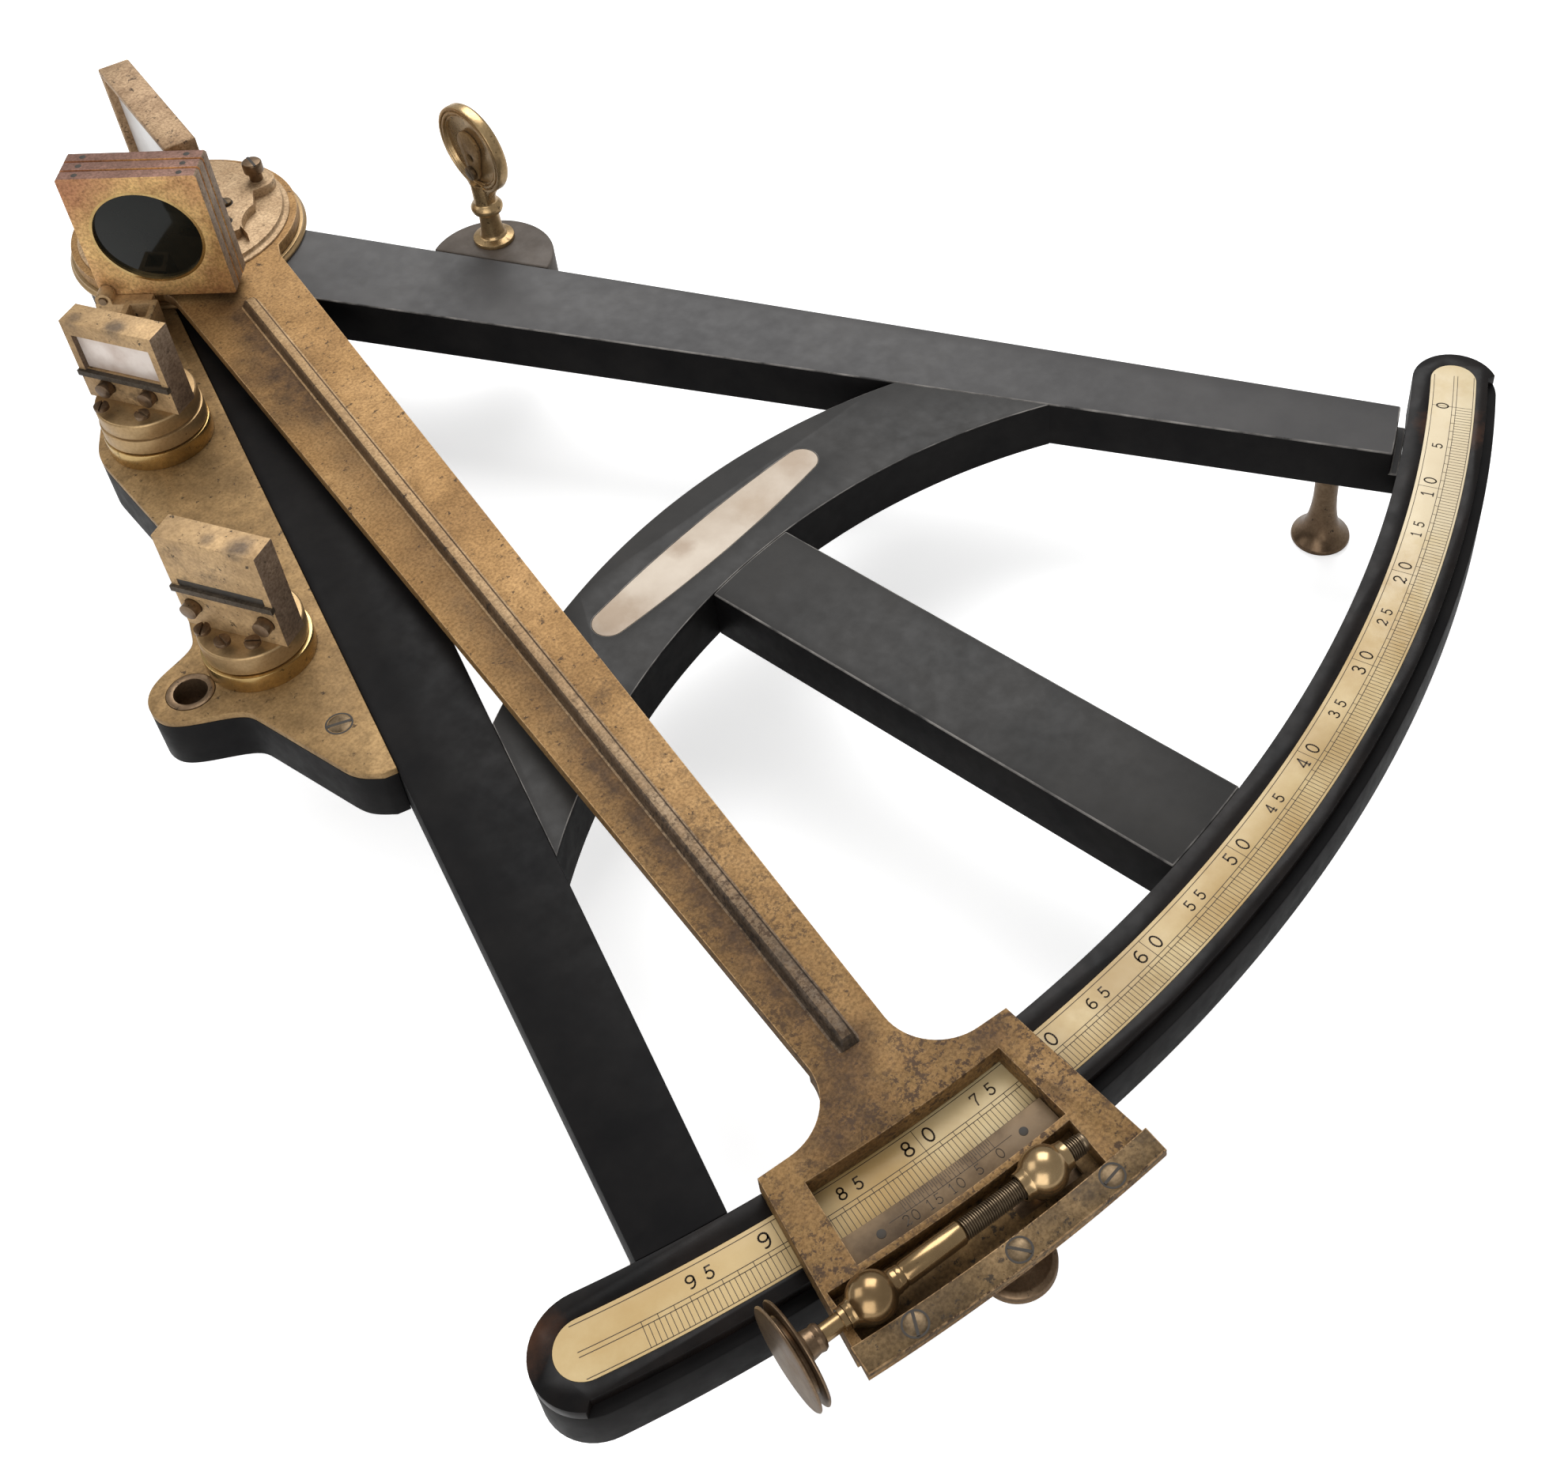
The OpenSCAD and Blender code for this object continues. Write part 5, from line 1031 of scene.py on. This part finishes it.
for i, nm in enumerate(("rear", "middle", "front")):
    d0 = NEAR_D + i * PITCH
    d1 = d0 + SHADE_T
    body = nm + "_shade"
    holes = [circle(0, MID_Z, 13.0, 96), circle(PIN_Y, PIN_Z, 1.05, 24)]
    framed = plate([face] + holes, d0 + 0.25, d1, SHADE @ UP, 0.22)
    framed = add(body + "_frame_shown", framed, BR["shade"], body, [body + "_frame"])
    # Painted shade: the frames' side faces take the darker side brass.
    recolour(framed, BR["side"], is_edge)
    recolour(framed, BR["edge"], is_top)
    axis = SHADE @ at(0, 0, MID_Z) @ TO_X
    pane = lathe_bm(rounded([(0, d0 + 0.5), (13.7, d0 + 0.5), (13.7, d1 - 0.7), (0, d1 - 0.7)], 0.1), 96)
    add(body + "_glass_shown", finish_bm(pane, axis), SMOKED, body, [body + "_glass"])
    bezel = [(12.95, d1 - 0.75), (13.5, d1 - 0.02), (13.5, d1 + 0.02), (12.8, d1 + 0.02), (12.7, d1 - 0.75),
             (12.95, d1 - 0.75)]
    add(body + "_bezel", finish_bm(lathe_bm(bezel, 96), axis), BR["bright"], body, ())
    pins = bmesh.new()
    for y in (-12.4, 12.4):
        pin = rounded([(0, 0), (0.75, 0), (0.75, 0.04), (0, 0.05)], 0.02)
        lathe_bm(pin, 20, pins, SHADE @ at(d0 + SHADE_T / 2 + 0.1, y, SHADE_TOP - 0.02))
    add(body + "_edge_pins", finish_bm(pins), SLOT, body, ())
soften("shade_bracket", BR["frame"], 0.3)
soften("shade_pin", BR["dark"], 0.15)

# Horizon glasses
GLASS_TURN = Matrix.Rotation(GLASS_A, 4, "Z")
FLANK = Vector((-sin(GLASS_A), cos(GLASS_A), 0))


def is_flank(n):
    return abs(n.dot(FLANK)) > 0.8


FORE_STEPS = [(0, 5.6), (11.5, 5.6), (11.7, 5.9), (11.7, 9.6), (10.9, 9.7), (10.9, 10.0), (11.4, 10.1), (11.4, 13.8),
              (11.1, 14.2), (0, 14.2)]
BACK_STEPS = [(0, 5.6), (10.8, 5.6), (11.0, 5.9), (11.0, 10.4), (10.7, 10.8), (0, 10.8)]
for tag, c, r, steps in (("fore", FORE_C, 12.0, FORE_STEPS), ("back", BACK_C, 11.6, BACK_STEPS)):
    body = tag + "_glass"
    turned(tag + "_ring", [(tube(3.05, r, PLATE_T, 5.3), at(*c))], BR["bright"], "frame", [tag + "_base_ring"],
           96, 0.3)
    L = at(*c) @ GLASS_TURN
    turned(tag + "_table", [(steps, L), ([(0, -16.9), (3, -16.9), (3, 5.65), (0, 5.65)], L)], BR["turned"], body,
           [tag + "_turntable"], 96, 0.15)
    # Painted shade: the frames' flank faces take the darker side brass.
    recolour(soften(tag + "_frame", BR["frame"], 0.3), BR["side"], is_flank)
    soften(tag + "_mirror", PINK_MIRROR if tag == "fore" else SMOKED, 0.1)
    soften(tag + "_screws", BR["dark"], 0.1)
    soften(tag + "_lever", BR["dark"], 0.3)
slit = bmesh.new()
box_bm(slit, 2.4, 4.15, -9.9, 9.9, 22.9, 24.6, at(*BACK_C) @ GLASS_TURN)
add("back_slit_shadow", finish_bm(slit), SLOT, "back_glass", ())
for tag, c, front, z in (("fore", FORE_C, 4.76, 20.96), ("back", BACK_C, 5.06, 21.36)):
    ledge = bmesh.new()
    box_bm(ledge, front - 1.2, front, -11.95, 11.95, z, z + 1.48, at(*c) @ GLASS_TURN)
    bevel_edges(ledge, 0.2, 2)
    add(tag + "_ledge", finish_bm(ledge), BR["tarnish"], tag + "_glass", ())

# Floor, lights and camera
world = bpy.data.worlds.new("studio")
bpy.context.scene.world = world
world.use_nodes = True
t = world.node_tree
white = t.nodes["Background"]
white.inputs["Color"].default_value = (1, 1, 1, 1)
white.inputs["Strength"].default_value = 1.0
grey = shader(t, "Background", {"Color": (1, 1, 1, 1), "Strength": 0.42})[0]
seen = shader(t, "LightPath", {})["Is Camera Ray"]
backdrop = shader(t, "MixShader", {0: seen, 1: grey, 2: white.outputs[0]})[0]
t.links.new(backdrop, t.nodes["World Output"].inputs["Surface"])

floor_mesh = bpy.data.meshes.new("floor")
floor_mesh.from_pydata([(-6, -6, 0), (6, -6, 0), (6, 6, 0), (-6, 6, 0)], [], [(0, 1, 2, 3)])
floor = bpy.data.objects.new("studio_floor", floor_mesh)
bpy.context.collection.objects.link(floor)
m, t, b = new_material("floor_paper")
b.inputs["Base Color"].default_value = (0.86, 0.86, 0.86, 1)
b.inputs["Roughness"].default_value = 0.9
glow = calc(t, "MULTIPLY", shader(t, "LightPath", {})["Is Camera Ray"], 0.58)
lit = shader(t, "Emission", {"Strength": glow})[0]
paper = shader(t, "AddShader", {0: b.outputs[0], 1: lit})[0]
t.links.new(paper, t.nodes["Material Output"].inputs["Surface"])
floor_mesh.materials.append(m)


def area(name, loc, target, size, power):
    d = bpy.data.lights.new(name, "AREA")
    d.energy = power
    d.size = size
    o = bpy.data.objects.new(name, d)
    o.location = loc
    o.rotation_euler = (Vector(target) - Vector(loc)).to_track_quat("-Z", "Y").to_euler()
    bpy.context.collection.objects.link(o)


area("key_light", (0.75, 0.55, 1.3), (0, 0, 0.04), 1.1, 20)
area("fill_light", (-1.1, -0.8, 0.7), (0, 0, 0.04), 1.2, 11)
area("side_light", (-0.75, 0.95, 1.1), (0, 0, 0.04), 0.9, 5)

cam_data = bpy.data.cameras.new("camera")
cam_data.sensor_width = 36
cam_data.sensor_fit = "HORIZONTAL"
cam_data.lens = 46.921
cam_data.shift_x = -0.14973
cam_data.shift_y = -0.14797
cam_data.clip_start = 0.01
cam = bpy.data.objects.new("camera", cam_data)
cam.location = (-0.213574, -0.274735, 0.369888)
cam.rotation_euler = (rad(44.963497), rad(0.486416), rad(-53.222495))
bpy.context.collection.objects.link(cam)
bpy.context.scene.camera = cam
bpy.context.scene.view_settings.view_transform = "Standard"
